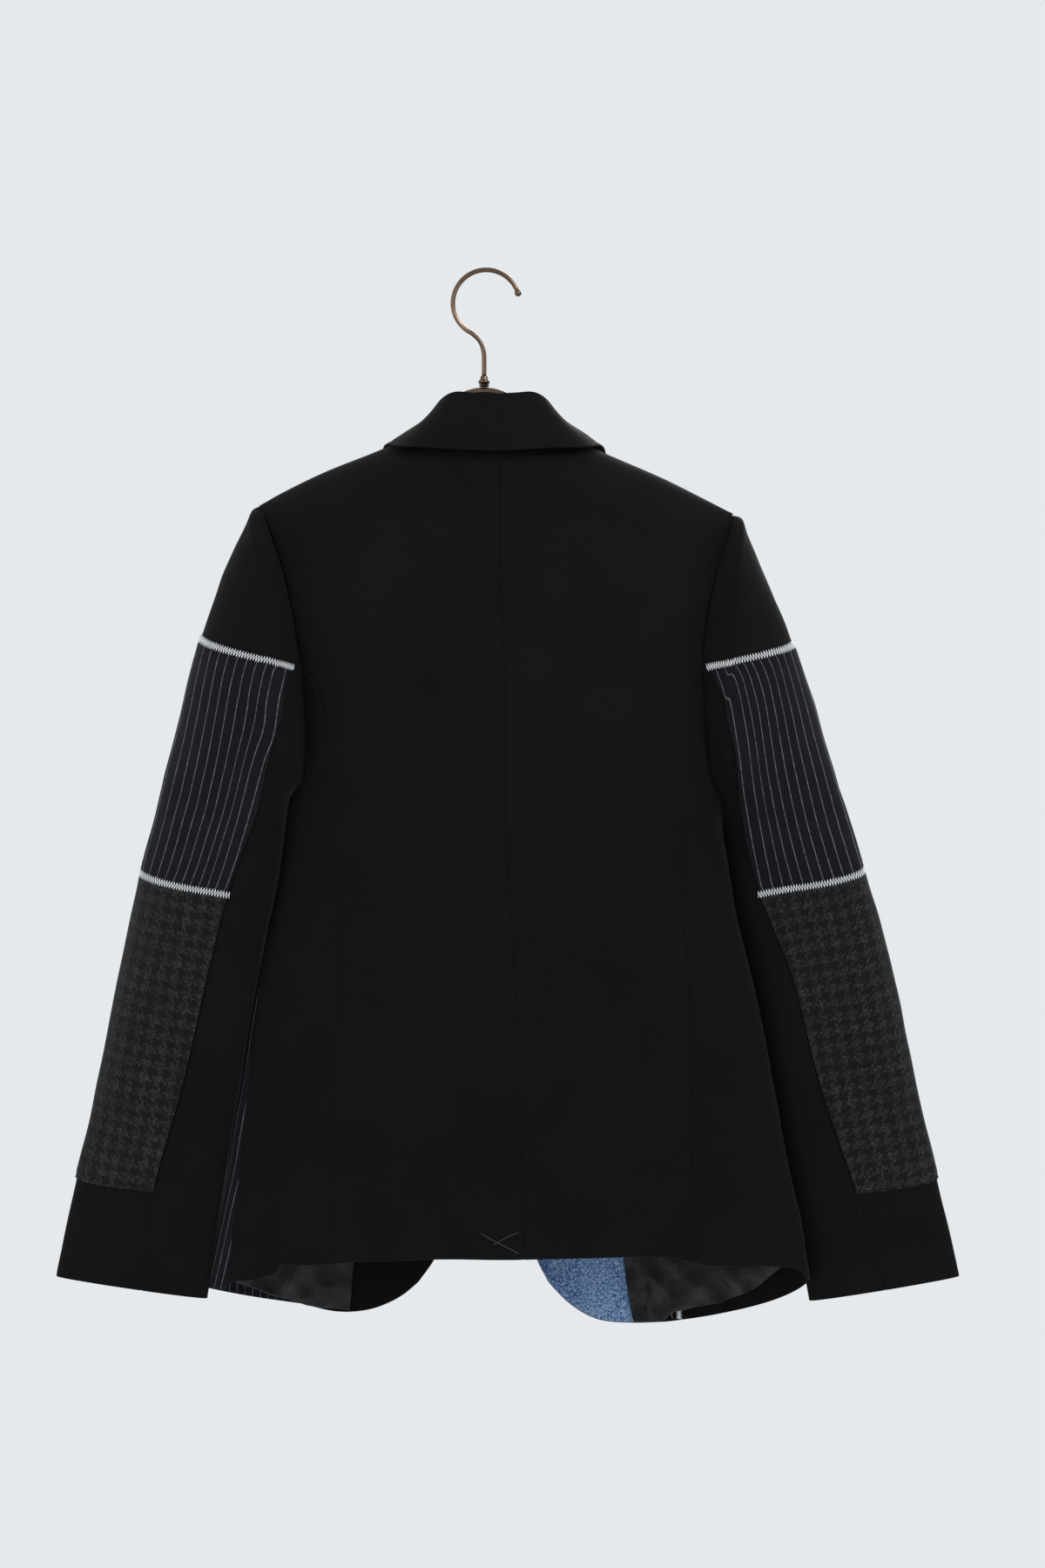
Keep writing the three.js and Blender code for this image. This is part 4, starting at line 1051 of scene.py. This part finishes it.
def armhole_ring(side, j):
    tip = TIP[side]
    a = np.clip(j / ELBOW, 0, 1)
    d = np.clip((AROUND - j) / ELBOW, 0, 1)
    b = np.clip((j - ELBOW) / UNDER_COLUMNS, 0, 1)
    c = np.clip((FRONT - j) / UNDER_COLUMNS, 0, 1)
    z_back = tip - (tip - BACK_SEAM_Z) * a ** 1.7
    z_front = tip - (tip - FRONT_SEAM_Z) * d ** 1.7
    z_back_under = mix(BACK_SEAM_Z, UNDERARM_Z, np.sin(b * math.pi / 2) ** 1.4)
    z_front_under = mix(FRONT_SEAM_Z, UNDERARM_Z, np.sin(c * math.pi / 2) ** 1.4)
    z_b = np.where(j <= ELBOW, z_back, z_back_under)
    z_f = np.where(j >= FRONT, z_front, z_front_under)
    pb = body_point(armhole_angle(side, z_b, -1), z_b)
    pf = body_point(armhole_angle(side, z_f, 1), z_f)
    return np.where((j <= INNER)[:, None], pb, pf)


def stations_of(side, j):
    j = np.mod(j, AROUND)
    rings = [armhole_ring(side, j)]
    for ox, oz, ix, iz, y, depth, elbow, front, lean in SLEEVE[side]:
        a = np.radians(column_angle(j, elbow, front))
        across, out = (np.sign(part) * np.abs(part) ** SLEEVE_ROUND for part in (np.cos(a), np.sin(a)))
        x = (ox + ix) / 2 + (ox - ix) / 2 * across
        z = (oz + iz) / 2 + (oz - iz) / 2 * across
        rings.append(np.stack([x, y + lean * across - depth * out, z], -1))
    return np.array(rings)


# Sleeve without folds: s counts the stations down it and j the columns round it
def sleeve_base(side, s, j):
    S = stations_of(side, j)
    last = len(S) - 1
    s = np.broadcast_to(s, (s.shape[0], len(j)))
    k = np.clip(np.floor(s).astype(int), 0, last - 1)
    u = (s - k)[..., None]
    col = np.broadcast_to(np.arange(len(j))[None, :], s.shape)
    p1 = S[k, col]
    p2 = S[k + 1, col]
    p0 = np.where((k > 0)[..., None], S[np.maximum(k - 1, 0), col], 2 * p1 - p2)
    p3 = np.where((k + 2 <= last)[..., None], S[np.minimum(k + 2, last), col], 2 * p2 - p1)

    def gap(a, b):
        return np.maximum(np.sqrt(np.linalg.norm(a - b, axis=-1, keepdims=True)), 0.1)
    l01, l12, l23 = gap(p0, p1), gap(p1, p2), gap(p2, p3)
    m1 = l12 * ((p1 - p0) / l01 - (p2 - p0) / (l01 + l12) + (p2 - p1) / l12)
    m2 = l12 * ((p2 - p1) / l12 - (p3 - p1) / (l12 + l23) + (p3 - p2) / l23)
    return hermite(p1, p2, m1, m2, u)


def sleeve_frame(side, s, j):
    s = np.broadcast_to(s, (s.shape[0], len(j))).astype(float)
    p = sleeve_base(side, s, j)
    along = sleeve_base(side, np.minimum(s + 0.05, 11), j) - sleeve_base(side, np.maximum(s - 0.05, 0), j)
    around = sleeve_base(side, s, j + 0.3) - sleeve_base(side, s, j - 0.3)
    n = unit(np.cross(along, around))
    outwards = p - sleeve_base(side, s, j + AROUND / 2)
    return p, n * np.where((n * outwards).sum(-1, keepdims=True) < 0, -1, 1)


# Folds of a sleeve: the face they lie on, line as x and height pairs, width, height
SLEEVE_FOLDS = {
    "left": [
        (-1, [(-170, -240), (-176, -300), (-172, -370)], 12, -2.2),
        (-1, [(-197, -225), (-214, -290), (-220, -350)], 18, 1.8),
        (-1, [(-198, -326), (-184, -350), (-168, -372)], 5, -2.6),
        (-1, [(-190, -318), (-176, -340), (-158, -358)], 6, 1.2),
        (-1, [(-152, -372), (-166, -388), (-184, -396)], 5, 1.4),
        (-1, [(-246, -405), (-228, -418), (-208, -427), (-186, -430)], 8, -1.8),
        (-1, [(-248, -432), (-232, -442), (-208, -451)], 8, 1.4),
        (-1, [(-176, -452), (-204, -466), (-238, -470)], 7, -1.3),
        (-1, [(-206, -500), (-228, -560), (-246, -640)], 12, -1.6),
        (-1, [(-262, -520), (-280, -600), (-294, -680)], 12, 1.4),
        (-1, [(-190, -560), (-208, -640), (-222, -720)], 9, 1.2),
        (-1, [(-318, -700), (-296, -716), (-262, -722)], 7, -1.1),
        (-1, [(-246, -742), (-256, -776), (-264, -812)], 9, -1.2),
        (1, [(-256, -400), (-222, -432), (-180, -446)], 9, -2.2),
        (1, [(-262, -440), (-226, -470), (-184, -478)], 9, 1.8),
        (1, [(-200, -240), (-212, -310), (-220, -370)], 16, -2.0),
        (1, [(-230, -540), (-252, -640), (-268, -740)], 12, -1.5),
    ],
    "right": [
        (-1, [(192, -240), (198, -300), (200, -370)], 12, -2.0),
        (-1, [(216, -232), (234, -300), (242, -370)], 18, 1.8),
        (-1, [(182, -330), (200, -356), (224, -368)], 6, -1.5),
        (-1, [(188, -392), (206, -410), (232, -418)], 6, 1.3),
        (-1, [(276, -418), (262, -430), (236, -440), (206, -438)], 8, -1.8),
        (-1, [(284, -448), (268, -458), (240, -467)], 8, 1.4),
        (-1, [(206, -470), (234, -484), (268, -486)], 7, -1.2),
        (-1, [(236, -520), (260, -590), (280, -670)], 12, -1.5),
        (-1, [(296, -540), (316, -620), (330, -700)], 12, 1.4),
        (-1, [(222, -580), (242, -660), (258, -740)], 9, 1.2),
        (-1, [(350, -708), (326, -722), (294, -726)], 7, -1.1),
        (-1, [(292, -748), (304, -780), (312, -812)], 9, -1.2),
        (1, [(284, -400), (250, -432), (208, -446)], 9, -2.2),
        (1, [(292, -444), (256, -474), (214, -482)], 9, 1.8),
        (1, [(222, -240), (236, -310), (246, -370)], 16, -2.0),
        (1, [(262, -540), (286, -640), (304, -740)], 12, -1.5),
    ],
}


# Points and normals of a sleeve, and the height of its folds over them
def sleeve_relief(side, s, j):
    s = np.broadcast_to(s, (s.shape[0], len(j)))
    p, n = sleeve_frame(side, s, j)
    x, z = p[..., 0], p[..., 2]
    total = 0.55 * ripple(p * 1.15 + 40)
    back = ease((-n[..., 1] + 0.25) / 0.7)
    for face, line, width, height in SLEEVE_FOLDS[side]:
        near = back if face < 0 else 1 - back
        total = total + near * fold(x, z, line, width, height)
    calm = ease((s - 0.05) / 0.9) * ease((11.0 - s) / 0.25 + 0.25)
    return p, n, total * calm


def sleeve_columns(first, last, step=0.28):
    j = np.linspace(first, last, int(round((last - first) / step)) + 1)
    near = np.array([0.04, 0.1, 0.18])
    return np.unique(np.concatenate([j, first + near, last - near]))


SLEEVE_ROWS = np.unique(np.concatenate([
    np.linspace(0, 1, 12), np.linspace(1, 5, 70), np.linspace(5, 8, 60), np.linspace(8, 11, 46),
    [10.9, 10.95, 10.98],
]))


def sleeve_cloth(name, side, first, last):
    j = sleeve_columns(first, last)
    p, n, out = sleeve_relief(side, SLEEVE_ROWS[:, None], j)
    seed = 0.5 if side == "left" else 3.1
    u = lengths(p, 1)
    # the sewn seams at the elbow and the front
    out = out + seam_dip(u, p[..., 2], seed) + seam_dip(u[:, -1:] - u, p[..., 2], seed)
    p = p + n * out[..., None]
    p[0] += 0.3 * unit(p[1] - p[0])
    draw_back(p, 0.16)
    return cloth(name, p, n, SUITING)


# Station at which each column comes to a height
def station_at(side, j, z):
    low = np.full(len(j), 0.12)
    high = np.full(len(j), 11.0)
    for _ in range(34):
        s = (low + high) / 2
        above = sleeve_base(side, s[None, :], j)[0, :, 2] > z
        low = np.where(above, s, low)
        high = np.where(above, high, s)
    return (low + high) / 2


# Height of a patch's edge along the sleeve's columns
def patch_edge(side, edge, j):
    outer, elbow = PATCH[side][edge]
    return mix(outer, elbow, np.abs(j) / ELBOW)


# Stripes follow the sleeve's outline and keep some of their spacing round its edge.
# A fold makes them jog on the left patch.
def patch_place(side, p, j):
    crest = int(np.argmin(np.abs(j)))
    down = np.linspace(0, 1, len(p))

    def even(column, power):
        return np.polyval(np.polyfit(down, column, power), down)

    length = lengths(p, 1)
    length = length - length[:, [crest]]
    length = np.stack([even(column, 2) for column in length.T], axis=1)
    across = p[..., 0] - even(p[:, crest, 0], 3)[:, None]
    toward = np.where(j >= j[crest], 1.0, -1.0)[None, :]
    u = toward * np.abs(across) + 0.22 * length
    ends = [even(u[:, k], 4)[:, None] for k in (0, -1)]
    u = PATCH_WIDTH * np.where(toward > 0, u / ends[1], -u / ends[0])
    if side == "left":
        x, z = p[..., 0], p[..., 2]
        u = u - 2.4 * np.exp(-(((x + 177) / 19) ** 2) - ((z + 364) / 21) ** 2)
    return u, lengths(p).mean(axis=1)[:, None] + 0 * u


def patch_cloth(name, side, upper, lower):
    j = sleeve_columns(FRONT - AROUND, ELBOW)[1:-1]
    top = station_at(side, j, patch_edge(side, upper, j) - (0.3 if upper else 0))
    bottom = station_at(side, j, patch_edge(side, lower, j) + (0.3 if lower < 2 else 0))
    rows = []
    for t in np.unique(np.concatenate([[0.003, 0.008], np.linspace(0, 1, 90), [0.992, 0.997]])):
        trim = 0 if upper else CORNER_TRIM[side] * ease(1 - t / 0.3)
        columns = j - trim * ease((j - 1) / (ELBOW - 1))
        s = mix(np.interp(columns, j, top), np.interp(columns, j, bottom), t)
        rows.append([part[0] for part in sleeve_relief(side, s[None, :], columns)])
    p, n, out = (np.array(part) for part in zip(*rows))
    v = lengths(p)
    up = np.minimum(v, v[-1:] - v)
    press = -0.25 * np.exp(-((up - 2.2) / 1.8) ** 2) + 0.12 * np.exp(-((up - 6) / 2.5) ** 2)
    u = lengths(p, 1)
    tug = 0.16 * np.exp(-up / 7) * np.sin(u / 1.9 + 1.4 * np.sin(u / 11))
    p = p + n * (out + press + tug + PATCH_LAY + PATCH_CLOTH)[..., None]
    return cloth(name, p, n, PATCH_CLOTH, patch_place(side, p, j) if upper == 0 else None)


for side in ("left", "right"):
    for word, first, last in (("top", FRONT - AROUND, ELBOW), ("under", ELBOW, FRONT)):
        made = sleeve_cloth(f"cloth_sleeve_{word}_{side}", side, first, last)
        sew(made, SUIT, "suiting", f"sleeve_{word}_{side}")
    for upper, (word, material) in enumerate((("pinstripe", PIN), ("houndstooth", HOUND))):
        made = patch_cloth(f"cloth_patch_{word}_{side}", side, upper, upper + 1)
        sew(made, material, word, f"patch_{word}_{side}", rests_on=(f"cloth_sleeve_top_{side}",))


# Collar, folded over at its roll
def spline(points, t):
    points = np.asarray(points, float)
    last = len(points) - 1
    k = np.clip(np.floor(t).astype(int), 0, last - 1)
    u = (t - k).reshape(-1, *([1] * (points.ndim - 1)))
    p1 = points[k]
    p2 = points[k + 1]
    p0 = np.where((k > 0).reshape(u.shape), points[np.maximum(k - 1, 0)], 2 * p1 - p2)
    p3 = np.where((k + 2 <= last).reshape(u.shape), points[np.minimum(k + 2, last)], 2 * p2 - p1)
    return hermite(p1, p2, (p2 - p0) / 2, (p3 - p1) / 2, u)


# Normals of a grid of points, turned so that the one at reference faces the back
def grid_normals(p, reference):
    n = unit(np.cross(np.gradient(p, axis=0), np.gradient(p, axis=1)))
    return n if n[reference][1] < 0 else -n


def collar():
    half = COLLAR.reshape(-1, 3, 3)
    other = half[1:][::-1] * np.array([-1, 1, 1])
    ribs = np.concatenate([other, half]) + np.array([NECK_X, 0, 0])
    rows = []
    for foot, roll, fall in ribs:
        out = unit((fall - foot) * np.array([1, 1, 0]))
        up = np.array([0, 0, 1.0])
        tall = roll[2] - foot[2]
        half1 = foot + (roll - foot) * 0.55 - 0.5 * out
        before = roll - 1.2 * out - 2.2 * up
        after = roll + 2.4 * out - 2.0 * up
        half2 = after + (fall - after) * 0.5 + 0.03 * tall * out + 0.8 * up
        rows.append([foot, half1, before, roll, after, half2, fall])
    rows = np.array(rows)
    along = spline(rows, np.linspace(0, len(rows) - 1, 150))
    t = np.unique(np.concatenate([np.linspace(0, 6, 46), np.linspace(2, 4, 24), [5.9, 5.96]]))
    p = np.swapaxes(spline(np.swapaxes(along, 0, 1), t), 0, 1)
    n = grid_normals(p, (75, -6))
    fall = ease((t - 4) / 1.2)[None, :]
    x = p[..., 0]
    soft = 0.5 * ripple(p * 1.4 + 90) + 0.5 * np.sin(x / 17 + 0.5) * ease((t - 5) / 1)[None, :]
    edge = -0.35 * np.exp(-(((6 - t) * 20 - 5) / 1.2) ** 2)[None, :]
    p = p + n * (soft * fall + edge * fall)[..., None]
    return cloth("cloth_collar", p, n, SUITING)


sew(collar(), SUIT, "suiting", "collar", held="folded", rests_on=("cloth_back_left", "cloth_back_right"))


# Round strands swept along lines of points, their radius one number or one for each point
def strands(name, lines, radius, sides=6):
    points, faces = [], []
    base = 0
    turn = np.arange(sides)[:, None] * 2 * math.pi / sides
    for q in lines:
        r = np.broadcast_to(radius, (len(q),))
        d = unit(np.gradient(q, axis=0))
        guide = np.array([0.31, 0.83, 0.46])
        if abs(d[0] @ guide) > 0.9:
            guide = np.array([0.9, -0.3, 0.3])
        a = unit(np.cross(d[0], guide))
        for k in range(len(q)):
            a = unit(a - d[k] * (a @ d[k]))
            points.append(q[k] + r[k] * (np.cos(turn) * a + np.sin(turn) * np.cross(d[k], a)))
        points.append(np.array([q[0] - d[0] * r[0] * 0.5, q[-1] + d[-1] * r[-1] * 0.5]))
        start = base + len(q) * sides
        last = start - sides
        for m in range(sides):
            m1 = (m + 1) % sides
            for i0 in range(base, last, sides):
                faces.append([i0 + m, i0 + m1, i0 + sides + m1, i0 + sides + m])
            faces.append([start, base + m1, base + m])
            faces.append([start + 1, last + m, last + m1])
        base = start + 2
    return from_arrays(name, np.concatenate(points), faces, None, 80)


# Turned piece from radius and height pairs, upright or along y
def lathe(name, profile, centre, sides=48, along_y=False):
    turn = np.arange(sides) * 2 * math.pi / sides
    rings = [np.stack([r * np.cos(turn), r * np.sin(turn), np.full(sides, h)], -1) for r, h in profile]
    points = np.concatenate(rings)
    faces = []
    for k in range(0, len(points) - sides, sides):
        for m in range(sides):
            m1 = (m + 1) % sides
            faces.append([k + m, k + m1, k + sides + m1, k + sides + m])
    faces.append(list(range(sides - 1, -1, -1)))
    faces.append(list(range(len(points) - sides, len(points))))
    if along_y:
        points = points[:, [0, 2, 1]] * np.array([-1, 1, 1])
    return from_arrays(name, points + np.asarray(centre, float), faces, None, 40)


# Hanger: hook, ferrule and shaped bar
def hook_line():
    cx, cz, r = 0.3, -24.6, 26.4
    # angle and radius of the ball at the hook's end
    ball = [(12.2, 0.9), (13, 1.9), (15, 2.6), (18, 2.8), (21, 2.5), (23, 1.9)]
    angles = [a for a, _ in ball] + list(np.arange(27, 232, 3.0)) + [234]
    radii = [b for _, b in ball] + [WIRE_RADIUS] * (len(angles) - len(ball))
    arc = [(cx + r * math.cos(math.radians(a)), 0, cz + r * math.sin(math.radians(a))) for a in angles]
    end = [arc[-1], (-9.6, 0, -49.6), (-4.4, 0, -55.2), (-1.8, 0, -63), (-1.4, 0, -72), (-1.4, 0, -82)]
    tail = spline(end, np.linspace(0, 5, 41))[2:]
    return np.concatenate([arc, tail]), np.array(radii + [WIRE_RADIUS] * len(tail))


line, radii = hook_line()
hook = strands("metal_hook", [line], radii, 24)
finish_piece(hook, BRONZE, "bronze", "hanger_hook")
ferrule = lathe("metal_ferrule", [
    (2.6, -91.2), (3.6, -90.9), (3.9, -90.3), (3.8, -88.8), (4.2, -88.2), (4.6, -87.7), (4.6, -86.3),
    (4.2, -85.7), (3.3, -85.2), (3.1, -84.4), (3.1, -83.0), (2.8, -82.5),
], (-1.4, 0, 0), 40)
finish_piece(ferrule, BRONZE, "bronze", "hanger_ferrule")


# Middle of the bar where it lies against the shoulder's inside
def under_shoulder(x):
    return x, 0, float(read(SHOULDER, x, 1)) - (BAR_DROP + BAR_RADIUS) * 1.1


def bar_line():
    left = [-153, -151.5, -149, *np.linspace(-144, -62, 16)]
    right = [*np.linspace(71, 155, 16), 160, 163, 165]
    arch = [
        (-46, -131.6), (-32, -115.2), (-22, -101.4), (-12, -96.2), (-1.4, -94.7), (10, -96.4), (20, -101.4),
        (34, -115.4), (52, -132),
    ]
    path = [under_shoulder(x) for x in left] + [(x, 0, z) for x, z in arch]
    path += [under_shoulder(x) for x in right]
    tip = [1.6, 2.6, 3.3]
    radii = tip + [BAR_RADIUS] * (len(path) - 6) + tip[::-1]
    t = np.linspace(0, len(path) - 1, (len(path) - 1) * 4 + 1)
    return spline(path, t), np.interp(t, np.arange(len(radii)), radii)


line, radii = bar_line()
bar = strands("metal_bar", [line], radii, 20)
finish_piece(bar, BRONZE, "bronze", "hanger_bar")


# Buttons on the front, sewn through in a crossed stitch. Profile as radius and height.
BUTTON_PROFILE = [
    (6.5, 0), (8.6, 0.3), (9.7, 1.1), (10, 2.0), (9.7, 2.8), (9.0, 3.2), (8.0, 3.1), (7.2, 2.6), (6.4, 2.3),
    (3.0, 2.2), (1.0, 2.2),
]


def button(name, x, z, node):
    y = float(body_point(angle_at(x, z, 1, 2.5 * math.pi), z)[1] + right_lift(x, z)) + 0.5
    finish_piece(lathe(name, BUTTON_PROFILE, (x, y, z), 48, True), HORN, "horn", node)
    t = np.linspace(0, 1, 9)
    rise = 0.55 * np.sin(math.pi * t)
    lines = []
    for a, b in (((-1.7, -1.7), (1.7, -1.7)), ((-1.7, 1.7), (1.7, 1.7)), ((-1.7, -1.5), (1.7, 1.5))):
        lines.append(np.stack([x + mix(a[0], b[0], t), y + 2.1 + rise, z + mix(a[1], b[1], t)], -1))
    finish_piece(strands(name + "_thread", lines, 0.42), BLACK)


button("horn_button_1", 2, -512, "button_1")
button("horn_button_2", 2, -600, "button_2")


# Stitches
# Zigzag over a line on the sleeve: upper and lower give the two heights beside the line
def sleeve_zigzag(name, side, edge, pitch=2.2, above=2.6, below=2.9, radius=0.25):
    first, last = FRONT - AROUND - 0.02, ELBOW + 0.12 - (0 if edge else CORNER_TRIM[side])
    j = np.linspace(first, last, 700)
    base = patch_edge(side, edge, np.clip(j, FRONT - AROUND, ELBOW))
    d = lengths(sleeve_base(side, station_at(side, j, base)[None, :], j)[0])
    count = int(d[-1] / (pitch / 2))
    k = np.arange(count + 1)
    rng = np.random.default_rng(11 + edge + (5 if side == "left" else 0))
    heights = np.where(k % 2 == 0, above, -below) + rng.normal(0, 0.12, count + 1)
    t = np.linspace(0, count, count * 4 + 1)
    height = np.interp(t, k, heights)
    lean = 0.25 if side == "left" else -0.25
    jj = np.interp(np.clip(d[-1] * t / count + lean * height * 0.35, 0, d[-1]), d, j)
    s = station_at(side, jj, patch_edge(side, edge, np.clip(jj, FRONT - AROUND, ELBOW)) + height)
    # the sleeve's own surface at these places, one column each
    p = []
    for start in range(0, len(jj), 200):
        part = jj[start : start + 200]
        i = np.arange(len(part))
        grid = np.broadcast_to(s[start : start + 200, None], (len(part), len(part)))
        point, normal, out = (found[i, i] for found in sleeve_relief(side, grid, part))
        step = ease((0.9 - height[start : start + 200]) / 1.2) if edge == 0 else 1.0
        p.append(point + normal * (out + step * (PATCH_LAY + PATCH_CLOTH) + radius * 0.75)[:, None])
    finish_piece(strands(name, [np.concatenate(p)], radius), WHITE)


for side in ("left", "right"):
    for edge, word in ((0, "upper"), (1, "middle")):
        sleeve_zigzag(f"thread_zigzag_{word}_{side}", side, edge)


# Points raised over the dressed body
def on_body(x, z, face, near, lift):
    angle = angle_at(x, z, face, near)
    return body_point(angle, z) + body_normal(angle, z) * (body_relief(angle, z) + lift)[:, None]


# Zigzag down the seam of a front
def front_zigzag(side):
    a, z = side_front_seam(side)
    low, high = float(z[0]) + 3, float(z[-1]) - 6
    count = int((high - low) / 1.05)
    k = np.arange(count + 1)
    t = np.linspace(0, count, count * 3 + 1)
    zz = mix(low, high, t / count)
    off = np.interp(t, k, np.where(k % 2 == 0, 2.5, -2.5))
    angle = np.interp(zz, z, a)
    run = np.linalg.norm(body_point(angle + 0.02, zz) - body_point(angle, zz), axis=1) / 0.02
    angle = angle + off / run
    p = body_point(angle, zz)
    out = body_relief(angle, zz) + 0.01
    if side == "right":
        out = out + right_lift(p[:, 0], p[:, 2])
    p = p + body_normal(angle, zz) * out[:, None]
    finish_piece(strands(f"thread_zigzag_front_{side}", [p], 0.31), WHITE)


for side in ("left", "right"):
    front_zigzag(side)


# Loose cross of navy thread that tacks the vent
def vent_tack(ends, radius=0.33, bow=1.0, lift=0.5):
    rng = np.random.default_rng(1)
    t = np.linspace(0, 1, 24)
    arc = np.sin(math.pi * t)
    lines = []
    for (x0, z0), (x1, z1) in ends:
        z = mix(z0, z1, t) + bow * arc * rng.uniform(-1, 1)
        lines.append(on_body(mix(x0, x1, t), z, -1, 1.5 * math.pi, lift + 1.1 * arc))
    finish_piece(strands("thread_vent_tack", lines, radius, 7), NAVY)


# Slanting stitches that hold the denim facing's inner edge, seen below the back hem
def whip_stitches():
    t = np.linspace(0, 1, 6)
    inwards = -(SUITING + LAY_GAP + FACING_EASE) - 1.2 - 0.5 * np.sin(math.pi * t)
    lines = []
    for z in np.arange(-833.5, -640, 4.5):
        zz = z + 1.1 * (t - 0.5)
        x = read(FACING_LINE, zz, column_of("right")) - 3.0 + 3.6 * t
        lines.append(on_body(x, zz, 1, front_angle("right"), inwards + right_lift(x, zz)))
    finish_piece(strands("thread_whip", lines, 0.3), BLACK)


# Short ends of the front seams' zigzag, on the inside at the hem
def hem_end(name, side, x, low, high, half, teeth, material):
    k = np.arange(teeth * 2 + 1)
    t = np.linspace(0, teeth * 2, teeth * 6 + 1)
    xx = x + half * np.interp(t, k, np.where(k % 2 == 0, 1.0, -1.0))
    zz = mix(low, high, t / t[-1])
    line = on_body(xx, zz, 1, front_angle(side), -SUITING - 0.9)
    finish_piece(strands(name, [line], 0.3), material)


vent_tack([((-3.6, -755.9), (26.0, -771.6)), ((26.0, -755.2), (6.4, -764.8))])
whip_stitches()
hem_end("thread_hem_right", "right", 155.2, -834.8, -828.4, 2.2, 5, WHITE)
hem_end("thread_hem_left", "left", -144.7, -824, -819.5, 2.0, 3, WHITE)
hem_end("thread_hem_tan", "right", 149.5, -834.4, -829, 0.35, 1, TAN)


# World, floor and lights
def pale_world():
    world = bpy.data.worlds.new("world")
    scene.world = world
    world.use_nodes = True
    back = world.node_tree.nodes["Background"]
    back.inputs[0].default_value = linear(230, 233, 236)
    back.inputs[1].default_value = 1.0


def floor(radius=1.5, height=-1.5, corners=64):
    turn = [2 * math.pi * k / corners for k in range(corners)]
    ring = [(radius * math.cos(a), radius * math.sin(a), height) for a in turn]
    mesh = bpy.data.meshes.new("floor")
    mesh.from_pydata(ring, [], [list(range(corners))])
    shade = Shade("floor")
    shade.put(linear(226, 229, 232), shade.bsdf.inputs["Base Color"])
    shade.put(0.9, shade.bsdf.inputs["Roughness"])
    mesh.materials.append(shade.material)
    link(bpy.data.objects.new("floor", mesh))


def area_light(name, place, target, size, power):
    data = bpy.data.lights.new(name, "AREA")
    data.shape = "DISK"
    data.size = size
    data.energy = power
    obj = link(bpy.data.objects.new(name, data))
    obj.location = place
    obj.rotation_mode = "QUATERNION"
    obj.rotation_quaternion = (Vector(target) - Vector(place)).to_track_quat("-Z", "Y")


pale_world()
floor()
area_light("key", (1.5, -1.9, 1.2), (0.02, 0, -0.42), 0.9, 34)
area_light("fill", (-1.9, -1.6, 0.1), (0.02, 0, -0.45), 1.2, 9)
area_light("rim", (0.8, 2.2, 0.9), (0.02, 0, -0.4), 1.2, 30)
scene.view_settings.view_transform = "Standard"
scene.view_settings.look = "None"
